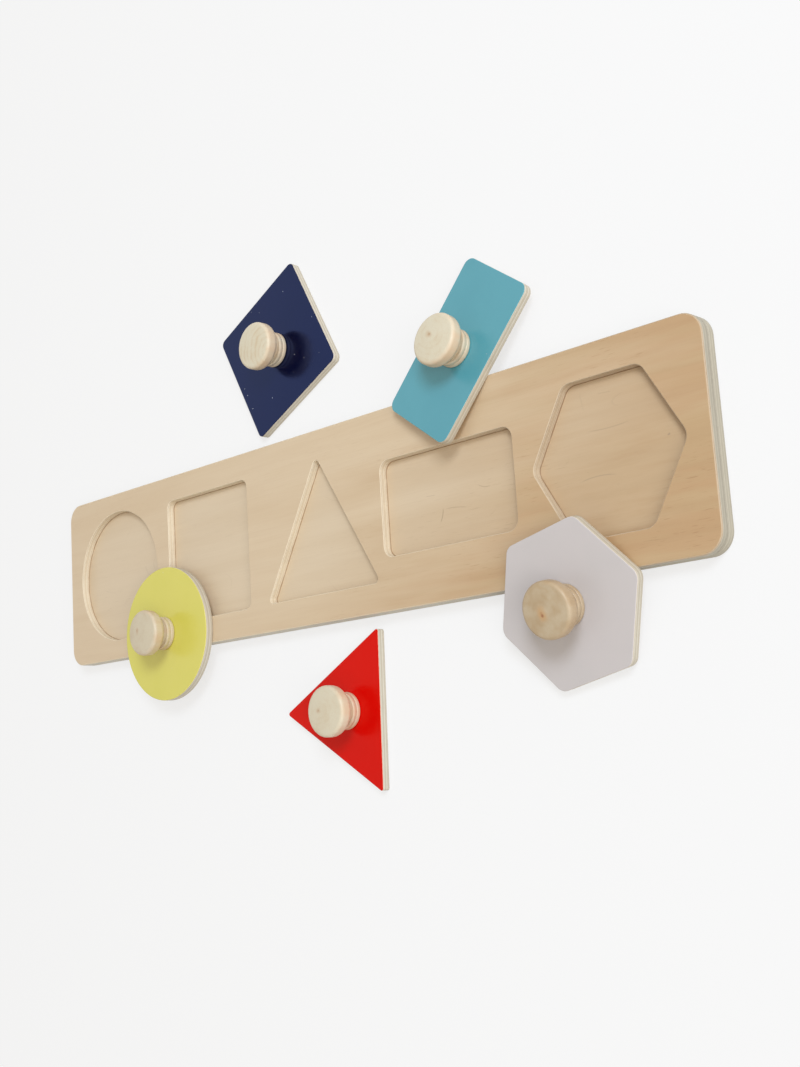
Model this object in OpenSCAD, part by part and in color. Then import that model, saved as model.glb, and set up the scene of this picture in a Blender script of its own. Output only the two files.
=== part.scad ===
// Knob puzzle: a board of two glued sheets with a row of five recesses, and a
// loose plate with a turned knob for each recess. The board lies on its back
// with its face up (+Z), its length along X and its origin under its middle.
// The plates lie out of their recesses: one on the board's face, two leaning
// on its long edges and two flat beside it.

/* [Board] */
// Thickness of the front sheet, and so the depth of the recesses
front_t = 5.5; // [4:0.5:9]
// Thickness of the back sheet, the floor of the recesses
back_t = 5.5; // [3:0.5:9]
// Radius of the board's four corners
board_corner_r = 12; // [4:1:20]
// Wood left between the tallest recess and each long edge
long_margin = 13.6; // [8:0.2:30]
// Wood left between the last recess and the board at each end
end_margin = 14.5; // [8:0.5:30]
// Wood between the disc's recess and the square's
disc_square_gap = 14.5; // [6:0.5:30]
// Wood between the square's recess and the triangle's
square_triangle_gap = 19.5; // [6:0.5:30]
// Wood between the triangle's recess and the rectangle's
triangle_rectangle_gap = 7; // [5:0.5:30]
// Wood between the rectangle's recess and the hexagon's
rectangle_hexagon_gap = 13.5; // [6:0.5:30]
// Room between a plate and the wall of its recess, all round
recess_clearance = 1.2; // [0.5:0.1:2]

/* [Plates] */
// Thickness of the loose plates
plate_t = 5.5; // [4:0.5:9]
// Diameter of the disc
disc_d = 90.4; // [60:0.2:110]
// Side of the square
square_side = 82.5; // [60:0.5:110]
// Corner radius of the square
square_corner_r = 4; // [1:0.5:8]
// Base of the triangle, over its sharp corners
triangle_base = 96; // [75:0.2:115]
// Height of the triangle, over its sharp corners
triangle_h = 82; // [65:0.2:100]
// Corner radius of the triangle
triangle_corner_r = 1.5; // [1:0.5:6]
// Length of the rectangle
rectangle_l = 98; // [70:0.2:120]
// Width of the rectangle
rectangle_w = 55; // [42:0.2:90]
// Corner radius of the rectangle
rectangle_corner_r = 5.5; // [1:0.5:8]
// Hexagon's size from flat to flat
hexagon_flats = 81; // [60:0.2:100]
// Corner radius of the hexagon
hexagon_corner_r = 6.5; // [1:0.5:10]

/* [Knobs] */
// Diameter of the knob's head
knob_head_d = 30.4; // [26:0.2:38]
// Height of the head, from the cove to its crown
knob_head_h = 9.4; // [8:0.2:14]
// Radius of the head's upper rim
knob_rim_r = 2.2; // [1:0.1:3]
// Radius of the head's lower edge
knob_under_r = 3.4; // [1:0.1:4]
// Rise of the head's crown
knob_crown = 0.6; // [0.2:0.1:1]
// Diameter of the neck, at the deepest point of the cove
knob_neck_d = 17; // [12:0.5:20]
// Height of the cove between base and head
knob_cove_h = 4.4; // [3:0.2:8]
// Diameter of the knob's base
knob_base_d = 22.4; // [21:0.2:26]
// Height of the knob's base
knob_base_h = 6; // [4:0.2:9]
// Radius of the base's two edges
knob_base_edge_r = 1; // [0.4:0.1:1.4]
// Width of the turned groove round the base
knob_groove_w = 0.9; // [0.4:0.1:1.2]
// Depth of the turned groove
knob_groove_depth = 0.45; // [0.2:0.05:1]

/* [Knob screws] */
// Length of the screw
screw_l = 16; // [13:0.5:20]
// Diameter of the screw's shank
screw_d = 3.5; // [2.5:0.1:4.5]
// Diameter of the countersunk head
screw_head_d = 7; // [6:0.1:9]
// Straight rim of the screw's head
screw_lip = 0.4; // [0.2:0.1:0.8]
// Length of the screw's point
screw_point = 3; // [2:0.5:5]
// Depth of the head below the plate's underside
screw_sink = 0.2; // [0:0.1:0.5]
// Width of the cross recess
cross_w = 1.1; // [0.8:0.1:1.4]
// Length of each arm pair of the cross recess
cross_l = 4; // [3:0.1:5]
// Depth of the cross recess
cross_depth = 1.1; // [0.6:0.1:1.4]

/* [Places of the loose pieces] */
// Disc's place along the board, from its recess
disc_shift = 61; // [0:1:80]
// How far the disc's middle lies inside the board's lower edge
disc_inset = 10.8; // [6:0.2:30]
// Square's place along the board, from its recess
square_shift = 72; // [0:1:90]
// Room between the square and the board's upper edge
square_room = 9; // [3:0.5:40]
// Turn of the square on the table, in degrees
square_turn = 26; // [0:1:90]
// Triangle's place along the board, from its recess
triangle_shift = 11; // [-40:1:60]
// Room between the triangle and the board's lower edge
triangle_room = 8; // [3:0.5:40]
// Turn of the triangle on the table, in degrees
triangle_turn = 88; // [60:1:120]
// Rectangle's place along the board, from its recess
rectangle_shift = 18; // [-30:1:60]
// How far the rectangle's middle lies beyond the upper edge
rectangle_over = 18.6; // [8:0.2:25]
// Turn of the rectangle in its own plane, in degrees
rectangle_turn = 53.5; // [40:0.5:70]
// Hexagon's place along the board, from its recess
hexagon_shift = -30; // [-60:1:30]
// How far the hexagon's middle lies beyond the lower edge
hexagon_over = 12.4; // [8:0.2:25]
// Turn of the hexagon in its own plane, in degrees
hexagon_turn = 12; // [0:1:30]

/* [Hidden] */
$fn = 96;
// Gap between a resting plate and the board
rest_gap = 0.3;
// Gap between the screw and the wood round it
screw_clearance = 0.1;
// How far a cutter runs past the face that it opens
overrun = 1;
// Steps in a quarter of the knob's round stretches
arc_steps = 8;
// Share of its radius by which a corner's arc stands past the straight edges, so that they cross cleanly
arc_lap_share = 0.0005;

board_t = back_t + front_t;
knob_h = knob_base_h + knob_cove_h + knob_head_h;

// Sharp corners of the outlines, anticlockwise, from the middle of each plate
square_points = rectangle_points(square_side, square_side);
rectangle_corners = rectangle_points(rectangle_l, rectangle_w);
triangle_points = [
    [-triangle_base / 2, -triangle_h / 3],
    [triangle_base / 2, -triangle_h / 3],
    [0, triangle_h * 2 / 3]
];
hexagon_points = [for (i = [0:5]) hexagon_flats / sqrt(3) * [cos(60 * i), sin(60 * i)]];

function rectangle_points(l, w) = [[-l, -w] / 2, [l, -w] / 2, [l, w] / 2, [-l, w] / 2];

// Outward normal of the edge from corner i to the next one
function edge_normal(points, i) =
    let(step = points[(i + 1) % len(points)] - points[i])
    [step[1], -step[0]] / norm(step);

// Middle of the arc of radius r that rounds corner i
function arc_centre(points, i, r) =
    let(a = edge_normal(points, (i + len(points) - 1) % len(points)), b = edge_normal(points, i))
    points[i] - r * (a + b) / (1 + a * b);

// How far an outline with round corners reaches in a direction once it is turned
function reach(points, r, turn, direction) =
    let(along = [cos(direction - turn), sin(direction - turn)])
    max([for (i = [0:len(points) - 1]) arc_centre(points, i, r) * along]) + r;

// Half the length that each recess takes of the board, and its height
disc_half = disc_d / 2 + recess_clearance;
square_half = square_side / 2 + recess_clearance;
triangle_half = reach(triangle_points, triangle_corner_r, 0, 0) + recess_clearance;
rectangle_half = rectangle_l / 2 + recess_clearance;
hexagon_half = reach(hexagon_points, hexagon_corner_r, 0, 0) + recess_clearance;
tallest = max(disc_d, square_side, triangle_h, rectangle_w, hexagon_flats) + 2 * recess_clearance;

// Places of the recesses along the board, from its left end
disc_from_end = end_margin + disc_half;
square_from_end = disc_from_end + disc_half + disc_square_gap + square_half;
triangle_from_end = square_from_end + square_half + square_triangle_gap + triangle_half;
rectangle_from_end = triangle_from_end + triangle_half + triangle_rectangle_gap + rectangle_half;
hexagon_from_end = rectangle_from_end + rectangle_half + rectangle_hexagon_gap + hexagon_half;
board_l = hexagon_from_end + hexagon_half + end_margin;
board_w = tallest + 2 * long_margin;
disc_x = disc_from_end - board_l / 2;
square_x = square_from_end - board_l / 2;
triangle_x = triangle_from_end - board_l / 2;
rectangle_x = rectangle_from_end - board_l / 2;
hexagon_x = hexagon_from_end - board_l / 2;
// The triangle's middle lies this far below the middle of its height
triangle_drop = triangle_h / 6;

// Slope of a plate that lies over the board's edge and meets the table at a
// distance l down the slope: the plate clears the edge by rest_gap
function lean(l) = asin(board_t / norm([l, rest_gap])) + atan(rest_gap / l);

// Middle of such a plate's underside, seen along the edge: out from it and up
function lean_place(slope, over) = [
    rest_gap * sin(slope) + over * cos(slope),
    board_t + rest_gap * cos(slope) - over * sin(slope)
];

rectangle_slope = lean(rectangle_over + reach(rectangle_corners, rectangle_corner_r, rectangle_turn, 90));
hexagon_slope = lean(hexagon_over + reach(hexagon_points, hexagon_corner_r, hexagon_turn, 270));

// Colours of the wood, the paints and the screws
front_wood = [0.86, 0.75, 0.61];
back_wood = [0.84, 0.74, 0.61];
knob_wood = [0.90, 0.82, 0.69];
disc_yellow = [0.84, 0.80, 0.42];
square_navy = [0.15, 0.18, 0.30];
triangle_red = [0.83, 0.14, 0.10];
rectangle_teal = [0.40, 0.65, 0.69];
hexagon_lilac = [0.80, 0.77, 0.78];
steel = [0.72, 0.72, 0.70];

// Outline with straight edges and round corners, grown outwards all round
module rounded(points, r, grow = 0) {
    count = len(points);
    reach_r = r + grow;
    edge_r = reach_r * (1 - arc_lap_share);
    polygon([
        for (i = [0:count - 1])
            for (k = [(i + count - 1) % count, i])
                arc_centre(points, i, r) + edge_r * edge_normal(points, k)
    ]);
    for (i = [0:count - 1])
        translate(arc_centre(points, i, r))
            circle(r = reach_r);
}

module disc_outline(grow = 0) {
    circle(r = disc_d / 2 + grow);
}

module square_outline(grow = 0) {
    rounded(square_points, square_corner_r, grow);
}

module triangle_outline(grow = 0) {
    rounded(triangle_points, triangle_corner_r, grow);
}

module rectangle_outline(grow = 0) {
    rounded(rectangle_corners, rectangle_corner_r, grow);
}

module hexagon_outline(grow = 0) {
    rounded(hexagon_points, hexagon_corner_r, grow);
}

// One sheet of the board, without its recesses
module sheet(thickness) {
    linear_extrude(thickness)
        rounded(rectangle_points(board_l, board_w), board_corner_r);
}

// Cutter for a recess at a place along the board
module recess(x, y = 0) {
    translate([x, y, -overrun])
        linear_extrude(front_t + 2 * overrun)
            children();
}

module front_sheet() {
    color(front_wood)
        translate([0, 0, back_t])
            difference() {
                sheet(front_t);
                recess(disc_x) disc_outline(recess_clearance);
                recess(square_x) square_outline(recess_clearance);
                recess(triangle_x, -triangle_drop) triangle_outline(recess_clearance);
                recess(rectangle_x) rectangle_outline(recess_clearance);
                recess(hexagon_x) hexagon_outline(recess_clearance);
            }
}

module back_sheet() {
    color(back_wood)
        sheet(back_t);
}

// Countersunk hole for the knob's screw, from the plate's underside
module screw_hole() {
    sink_r = screw_head_d / 2 + screw_clearance;
    shank_r = screw_d / 2 + screw_clearance;
    sink_z = screw_sink + screw_lip;
    rotate_extrude()
        polygon([
            [0, -overrun],
            [sink_r, -overrun],
            [sink_r, sink_z],
            [shank_r, sink_z + sink_r - shank_r],
            [shank_r, plate_t + overrun],
            [0, plate_t + overrun]
        ]);
}

// Loose plate of the outline given as its child
module plate() {
    difference() {
        linear_extrude(plate_t)
            children();
        screw_hole();
    }
}

// Quarter arc of radius r about a point, from one angle to another
function arc(centre, r, from, to) = [
    for (i = [0:arc_steps])
        let(a = from + (to - from) * i / arc_steps)
        centre + r * [cos(a), sin(a)]
];

// Half section of the knob: base with its groove, cove, head and crown
head_r = knob_head_d / 2;
base_r = knob_base_d / 2;
neck_r = knob_neck_d / 2;
head_z = knob_base_h + knob_cove_h;
rim_z = knob_h - knob_crown;
cove_low_r = base_r - knob_base_edge_r;
cove_high_r = head_r - knob_under_r;
groove_z = knob_base_h / 2;
knob_profile = concat(
    [[0, 0]],
    arc([base_r - knob_base_edge_r, knob_base_edge_r], knob_base_edge_r, -90, 0),
    [
        [base_r, groove_z - knob_groove_w / 2],
        [base_r - knob_groove_depth, groove_z],
        [base_r, groove_z + knob_groove_w / 2]
    ],
    arc([base_r - knob_base_edge_r, knob_base_h - knob_base_edge_r], knob_base_edge_r, 0, 90),
    [
        for (i = [1 - arc_steps:arc_steps - 1])
            let(a = 90 * i / arc_steps, end_r = i < 0 ? cove_low_r : cove_high_r)
            [neck_r + (end_r - neck_r) * (1 - cos(a)), knob_base_h + knob_cove_h * (1 + sin(a)) / 2]
    ],
    arc([head_r - knob_under_r, head_z + knob_under_r], knob_under_r, -90, 0),
    arc([head_r - knob_rim_r, rim_z - knob_rim_r], knob_rim_r, 0, 90),
    [
        for (i = [1:arc_steps])
            let(share = 1 - i / arc_steps)
            [(head_r - knob_rim_r) * share, knob_h - knob_crown * share * share]
    ]
);

// Turned knob on the plate's face, bored for the point of its screw
module knob() {
    color(knob_wood)
        translate([0, 0, plate_t])
            difference() {
                rotate_extrude()
                    polygon(knob_profile);
                translate([0, 0, -overrun])
                    cylinder(
                        h = overrun + screw_sink + screw_l + screw_clearance - plate_t,
                        r = screw_d / 2 + screw_clearance
                    );
            }
}

// Countersunk screw with a cross recess, driven from the plate's underside
module screw() {
    color(steel)
        translate([0, 0, screw_sink])
            difference() {
                rotate_extrude()
                    polygon([
                        [0, 0],
                        [screw_head_d / 2, 0],
                        [screw_head_d / 2, screw_lip],
                        [screw_d / 2, screw_lip + (screw_head_d - screw_d) / 2],
                        [screw_d / 2, screw_l - screw_point],
                        [0, screw_l]
                    ]);
                for (turn = [0, 90])
                    rotate([0, 0, turn])
                        translate([-cross_l / 2, -cross_w / 2, -overrun])
                            cube([cross_l, cross_w, cross_depth + overrun]);
            }
}

// Places of the loose pieces, each given as the child
module lay_disc() {
    translate([disc_x + disc_shift, disc_inset - board_w / 2, board_t + rest_gap])
        children();
}

module lay_square() {
    out = board_w / 2 + square_room + reach(square_points, square_corner_r, square_turn, 270);
    translate([square_x + square_shift, out, 0])
        rotate([0, 0, square_turn])
            children();
}

module lay_triangle() {
    out = board_w / 2 + triangle_room + reach(triangle_points, triangle_corner_r, triangle_turn, 90);
    translate([triangle_x + triangle_shift, -out, 0])
        rotate([0, 0, triangle_turn])
            children();
}

module lay_rectangle() {
    place = lean_place(rectangle_slope, rectangle_over);
    translate([rectangle_x + rectangle_shift, board_w / 2 + place[0], place[1]])
        rotate([-rectangle_slope, 0, 0])
            rotate([0, 0, rectangle_turn])
                children();
}

module lay_hexagon() {
    place = lean_place(hexagon_slope, hexagon_over);
    translate([hexagon_x + hexagon_shift, -board_w / 2 - place[0], place[1]])
        rotate([hexagon_slope, 0, 0])
            rotate([0, 0, hexagon_turn])
                children();
}

module disc_plate() {
    color(disc_yellow)
        lay_disc() plate() disc_outline();
}

module disc_knob() {
    lay_disc() knob();
}

module disc_screw() {
    lay_disc() screw();
}

module square_plate() {
    color(square_navy)
        lay_square() plate() square_outline();
}

module square_knob() {
    lay_square() knob();
}

module square_screw() {
    lay_square() screw();
}

module triangle_plate() {
    color(triangle_red)
        lay_triangle() plate() triangle_outline();
}

module triangle_knob() {
    lay_triangle() knob();
}

module triangle_screw() {
    lay_triangle() screw();
}

module rectangle_plate() {
    color(rectangle_teal)
        lay_rectangle() plate() rectangle_outline();
}

module rectangle_knob() {
    lay_rectangle() knob();
}

module rectangle_screw() {
    lay_rectangle() screw();
}

module hexagon_plate() {
    color(hexagon_lilac)
        lay_hexagon() plate() hexagon_outline();
}

module hexagon_knob() {
    lay_hexagon() knob();
}

module hexagon_screw() {
    lay_hexagon() screw();
}

front_sheet();
back_sheet();
disc_plate();
disc_knob();
disc_screw();
square_plate();
square_knob();
square_screw();
triangle_plate();
triangle_knob();
triangle_screw();
rectangle_plate();
rectangle_knob();
rectangle_screw();
hexagon_plate();
hexagon_knob();
hexagon_screw();
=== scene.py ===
"""Looks of a wooden knob puzzle: a long board with five recesses and five loose painted plates.

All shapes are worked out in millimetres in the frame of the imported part, and become metres when
their meshes are made. Every new mesh carries two attributes for its finish: piece_mm, a point's
place on its own piece before the piece is laid out, and rim_mm, its distance from the piece's rim.
On a knob the second one is 1 on the side and 0 on the crown, and a third, knob_traits, says how
brown, spotted and ringed its wood is.
"""

import logging
import math
from collections.abc import Sequence
from dataclasses import dataclass, field
from enum import Enum, IntEnum

import bmesh
import bpy
import numpy as np
from mathutils import Matrix, Vector


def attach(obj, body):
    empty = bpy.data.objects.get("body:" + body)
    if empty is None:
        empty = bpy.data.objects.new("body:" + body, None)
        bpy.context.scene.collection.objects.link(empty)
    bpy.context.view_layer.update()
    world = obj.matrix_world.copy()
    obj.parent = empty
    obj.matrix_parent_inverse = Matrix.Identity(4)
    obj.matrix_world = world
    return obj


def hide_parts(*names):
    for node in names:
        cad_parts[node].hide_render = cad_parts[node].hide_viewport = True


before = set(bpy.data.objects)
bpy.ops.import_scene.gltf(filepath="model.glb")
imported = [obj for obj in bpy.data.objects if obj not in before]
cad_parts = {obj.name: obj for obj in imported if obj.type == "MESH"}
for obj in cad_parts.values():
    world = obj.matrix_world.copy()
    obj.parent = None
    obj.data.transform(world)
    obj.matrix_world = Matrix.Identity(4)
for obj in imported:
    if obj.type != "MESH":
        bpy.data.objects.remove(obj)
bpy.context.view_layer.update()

Array = np.ndarray
Piece = bpy.types.Object
Material = bpy.types.Material
NodeTree = bpy.types.NodeTree
Outputs = bpy.types.bpy_prop_collection
Socket = bpy.types.NodeSocket
Colour = tuple[float, float, float]
Inputs = dict[str | int, object]

LOG = logging.getLogger("knob_puzzle")
# A millimetre in metres, and the distance in mm within which points are welded
MM = 0.001
WELD_MM = 0.0005
# Digits kept when equal places in mm, or equal angles, are merged
PLACE_DIGITS = 3
ANGLE_DIGITS = 8
# Least run of a ray along X that is divided by
LEAST_RUN = 1e-9
# Edges sharper than this stay sharp
CREASE = math.radians(50)
# Width in mm of the narrow flat beside a soft rim, which keeps the rim's shading to itself
FACE_SUPPORT = 0.12
# Middle of the values of a noise
NOISE_MIDDLE = 0.5
# Attributes that the finishes read
PLACE_ATTRIBUTE = "piece_mm"
RIM_ATTRIBUTE = "rim_mm"
TRAITS_ATTRIBUTE = "knob_traits"


class Shape(Enum):
    """The five outlines of the puzzle, by the name that their parts carry."""

    DISC = "disc"
    SQUARE = "square"
    TRIANGLE = "triangle"
    RECTANGLE = "rectangle"
    HEXAGON = "hexagon"


class Slot(Enum):
    """Material slots of the part's record that the new pieces take."""

    BOARD_FACE = "board_face"
    BOARD_BACK = "board_back"
    KNOB = "knob_wood"
    YELLOW = "yellow_paint"
    NAVY = "navy_paint"
    RED = "red_paint"
    TEAL = "teal_paint"
    LILAC = "lilac_paint"


class FrontSkin(IntEnum):
    """Materials of the front sheet, in the order that its faces count them."""

    FACE = 0
    EDGE = 1
    WALL = 2


class BackSkin(IntEnum):
    """Materials of the back sheet, in the order that its faces count them."""

    FLOOR = 0
    EDGE = 1


class PlateSkin(IntEnum):
    """Materials of a plate, in the order that its faces count them."""

    PAINT = 0
    EDGE = 1
    BACK = 2


# Outlines and surfaces


@dataclass(frozen=True)
class Outline:
    """A closed outline in a piece's own plane, walked anticlockwise.

    Attributes:
        points: Places on the outline, (n, 2), in mm.
        normals: Outward unit normals at those places, (n, 2).
    """

    points: Array
    normals: Array

    def grown(self, distance: float) -> Array:
        """Gives the points moved out along their normals by a distance in mm."""
        return self.points + distance * self.normals

    @classmethod
    def circle(cls, radius: float, count: int = 288) -> "Outline":
        """Makes a circle: radius times the cosine and sine of evenly spaced angles.

        Args:
            radius: Radius in mm.
            count: Number of points.

        Returns:
            The outline.
        """
        angles = np.linspace(-math.pi, math.pi, count, endpoint=False)
        normals = np.stack([np.cos(angles), np.sin(angles)], axis=1)
        return cls(radius * normals, normals)

    @classmethod
    def rounded(
        cls, corners: Array, radius: float, grow: float = 0.0, per_arc: int = 12, per_edge: int = 30
    ) -> "Outline":
        """Makes a polygon with round corners.

        Each corner is an arc about the point that lies the radius inside both of its edges, from
        the normal of the edge before to the normal of the edge after. Straight runs join the arcs.

        Args:
            corners: Sharp corners, anticlockwise, (m, 2), in mm.
            radius: Corner radius in mm.
            grow: Distance by which the outline then grows all round.
            per_arc: Steps in each arc.
            per_edge: Points inside each straight run.

        Returns:
            The outline.
        """
        edges = np.roll(corners, -1, axis=0) - corners
        after = np.stack([edges[:, 1], -edges[:, 0]], axis=1)
        after /= np.linalg.norm(edges, axis=1, keepdims=True)
        before = np.roll(after, 1, axis=0)
        centres = corners - radius * (before + after) / (1 + (before * after).sum(1, keepdims=True))
        start = np.arctan2(before[:, 1], before[:, 0])
        sweep = np.mod(np.arctan2(after[:, 1], after[:, 0]) - start, 2 * math.pi)
        angles = start[:, None] + sweep[:, None] * np.linspace(0, 1, per_arc + 1)
        arc_normals = np.stack([np.cos(angles), np.sin(angles)], axis=-1)
        arcs = centres[:, None] + (radius + grow) * arc_normals
        share = np.linspace(0, 1, per_edge + 2)[1:-1, None]
        runs = arcs[:, -1:] * (1 - share) + np.roll(arcs[:, :1], -1, axis=0) * share
        run_normals = np.repeat(after[:, None], per_edge, axis=1)
        points = np.concatenate([arcs, runs], axis=1).reshape(-1, 2)
        normals = np.concatenate([arc_normals, run_normals], axis=1).reshape(-1, 2)
        return cls(points, normals)

    def seen_from(self, centre: Array, angles: Array) -> "Outline":
        """Gives the points at which rays from a centre meet the outline.

        A ray meets the chord between the two samples on either side of its angle, where the
        cross product of the chord's point and the ray is zero.

        Args:
            centre: Start of the rays, (2,), inside the outline.
            angles: Angles of the rays, from minus pi to pi.

        Returns:
            An outline with one point for each ray.
        """
        away = self.points - centre
        around = np.arctan2(away[:, 1], away[:, 0])
        order = np.argsort(around)
        around, away, normals = around[order], away[order], self.normals[order]
        after = np.searchsorted(around, angles) % len(around)
        before = after - 1
        ray = np.stack([np.cos(angles), np.sin(angles)], axis=1)
        left = away[before, 0] * ray[:, 1] - away[before, 1] * ray[:, 0]
        right = away[after, 0] * ray[:, 1] - away[after, 1] * ray[:, 0]
        share = (left / (left - right))[:, None]
        points = away[before] + share * (away[after] - away[before])
        blend = normals[before] * (1 - share) + normals[after] * share
        return Outline(points + centre, blend / np.linalg.norm(blend, axis=1, keepdims=True))


def rectangle_corners(length: float, width: float) -> Array:
    """Gives the corners of a rectangle about the origin, anticlockwise, in mm."""
    return np.array([[-length, -width], [length, -width], [length, width], [-length, width]]) / 2


def quarter(steps: int = 5) -> tuple[Array, Array]:
    """Gives the sines and the cosines of the angles from 0 to 90 degrees in even steps."""
    angles = np.linspace(0, math.pi / 2, steps + 1)
    return np.sin(angles), np.cos(angles)


def lifted(points: Array, height: float) -> Array:
    """Puts flat points, (n, 2), at a height, as (n, 3)."""
    return np.column_stack([points, np.full(len(points), height)])


@dataclass(frozen=True)
class Placement:
    """Where a loose piece lies: its own coordinates are turned and then moved.

    Attributes:
        turn: Rotation matrix, (3, 3).
        move: Place of the middle of its underside, (3,), in mm.
    """

    turn: Array = field(default_factory=lambda: np.eye(3))
    move: Array = field(default_factory=lambda: np.zeros(3))

    @classmethod
    def laid(cls, move: Sequence[float], spin: float = 0.0, tilt: float = 0.0) -> "Placement":
        """Makes a placement from a spin about the piece's own axis and a tilt about X.

        Args:
            move: Place of the middle of the underside, in mm.
            spin: Turn in the piece's own plane, in degrees.
            tilt: Slope that follows the spin, in degrees.

        Returns:
            The placement.
        """
        spun = Matrix.Rotation(math.radians(spin), 3, "Z")
        tilted = Matrix.Rotation(math.radians(tilt), 3, "X")
        return cls(np.array(tilted @ spun), np.array(move, float))

    def place(self, points: Array) -> Array:
        """Gives points of the piece, (n, 3), where they lie in the frame."""
        return points @ self.turn.T + self.move


class Surface:
    """Collects grids of points and welds them into one mesh."""

    def __init__(self) -> None:
        """Starts with no grids."""
        self.points: list[Array] = []
        self.rims: list[Array] = []
        self.faces: list[Array] = []
        self.finishes: list[Array] = []
        self.count = 0

    def add(
        self,
        rows: Array,
        finish: Array,
        rims: Array | None = None,
        closed_profile: bool = False,
        keep: Array | None = None,
    ) -> None:
        """Adds the grid of a profile carried along a closed path.

        Row i is the whole path at the profile's point i, and a face joins the neighbours of both.
        Faces point outwards where the path runs anticlockwise and the profile runs outwards below,
        up the outside and inwards above.

        Args:
            rows: Points, (profile, path, 3), in mm on the piece.
            finish: Material index of each strip between two rows.
            rims: Distance from the rim for each row, in mm.
            closed_profile: True where the last row joins the first.
            keep: Marks, along the path, of the columns whose strip to the next column exists.
        """
        height, width = rows.shape[:2]
        strips = height if closed_profile else height - 1
        low = np.arange(strips)[:, None]
        high = (low + 1) % height
        here = np.arange(width)[None, :]
        there = (here + 1) % width
        lower, upper = low * width, high * width
        quads = np.stack([lower + here, lower + there, upper + there, upper + here], axis=-1)
        marks = np.repeat(np.asarray(finish)[:, None], width, axis=1)
        if keep is not None:
            quads, marks = quads[:, keep], marks[:, keep]
        distance = np.zeros(height) if rims is None else np.asarray(rims, float)
        self.points.append(rows.reshape(-1, 3))
        self.rims.append(np.repeat(distance, width))
        self.faces.append(quads.reshape(-1, 4) + self.count)
        self.finishes.append(marks.reshape(-1))
        self.count += height * width

    def build(
        self,
        name: str,
        placement: Placement,
        own_shift: Sequence[float] = (0, 0, 0),
        traits: Sequence[float] | None = None,
    ) -> Piece:
        """Makes the mesh object, at the origin, with its place in its points.

        Args:
            name: Name of the piece.
            placement: Where the piece lies.
            own_shift: Added to the place that the finish reads, in mm.
            traits: Three numbers that the finish reads, the same all over the piece.

        Returns:
            The new object.
        """
        own = np.concatenate(self.points)
        mesh = bpy.data.meshes.new(name)
        mesh.from_pydata(placement.place(own) * MM, [], np.concatenate(self.faces))
        mesh.polygons.foreach_set("material_index", np.concatenate(self.finishes).astype(np.int32))
        place = mesh.attributes.new(PLACE_ATTRIBUTE, "FLOAT_VECTOR", "POINT")
        shifted = own + np.array(own_shift, float)
        place.data.foreach_set("vector", shifted.astype(np.float32).ravel())
        rim = mesh.attributes.new(RIM_ATTRIBUTE, "FLOAT", "POINT")
        rim.data.foreach_set("value", np.concatenate(self.rims).astype(np.float32))
        if traits is not None:
            told = mesh.attributes.new(TRAITS_ATTRIBUTE, "FLOAT_VECTOR", "POINT")
            told.data.foreach_set("vector", np.tile(np.array(traits, np.float32), len(own)))
        weld = bmesh.new()
        weld.from_mesh(mesh)
        bmesh.ops.remove_doubles(weld, verts=weld.verts, dist=WELD_MM * MM)
        weld.to_mesh(mesh)
        weld.free()
        mesh.shade_smooth()
        mesh.set_sharp_from_angle(angle=CREASE)
        piece = bpy.data.objects.new(name, mesh)
        bpy.context.scene.collection.objects.link(piece)
        return piece


# Tools for the finishes


@dataclass(frozen=True)
class Pattern:
    """A noise: its cells per mm along each axis, its detail and its roughness."""

    cells: Colour
    detail: float = 2.0
    rough: float = 0.5


@dataclass(frozen=True)
class Span:
    """A range of a value, and the range that it is eased to."""

    low: float | Socket
    high: float | Socket
    to_low: float = 0.0
    to_high: float = 1.0


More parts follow.
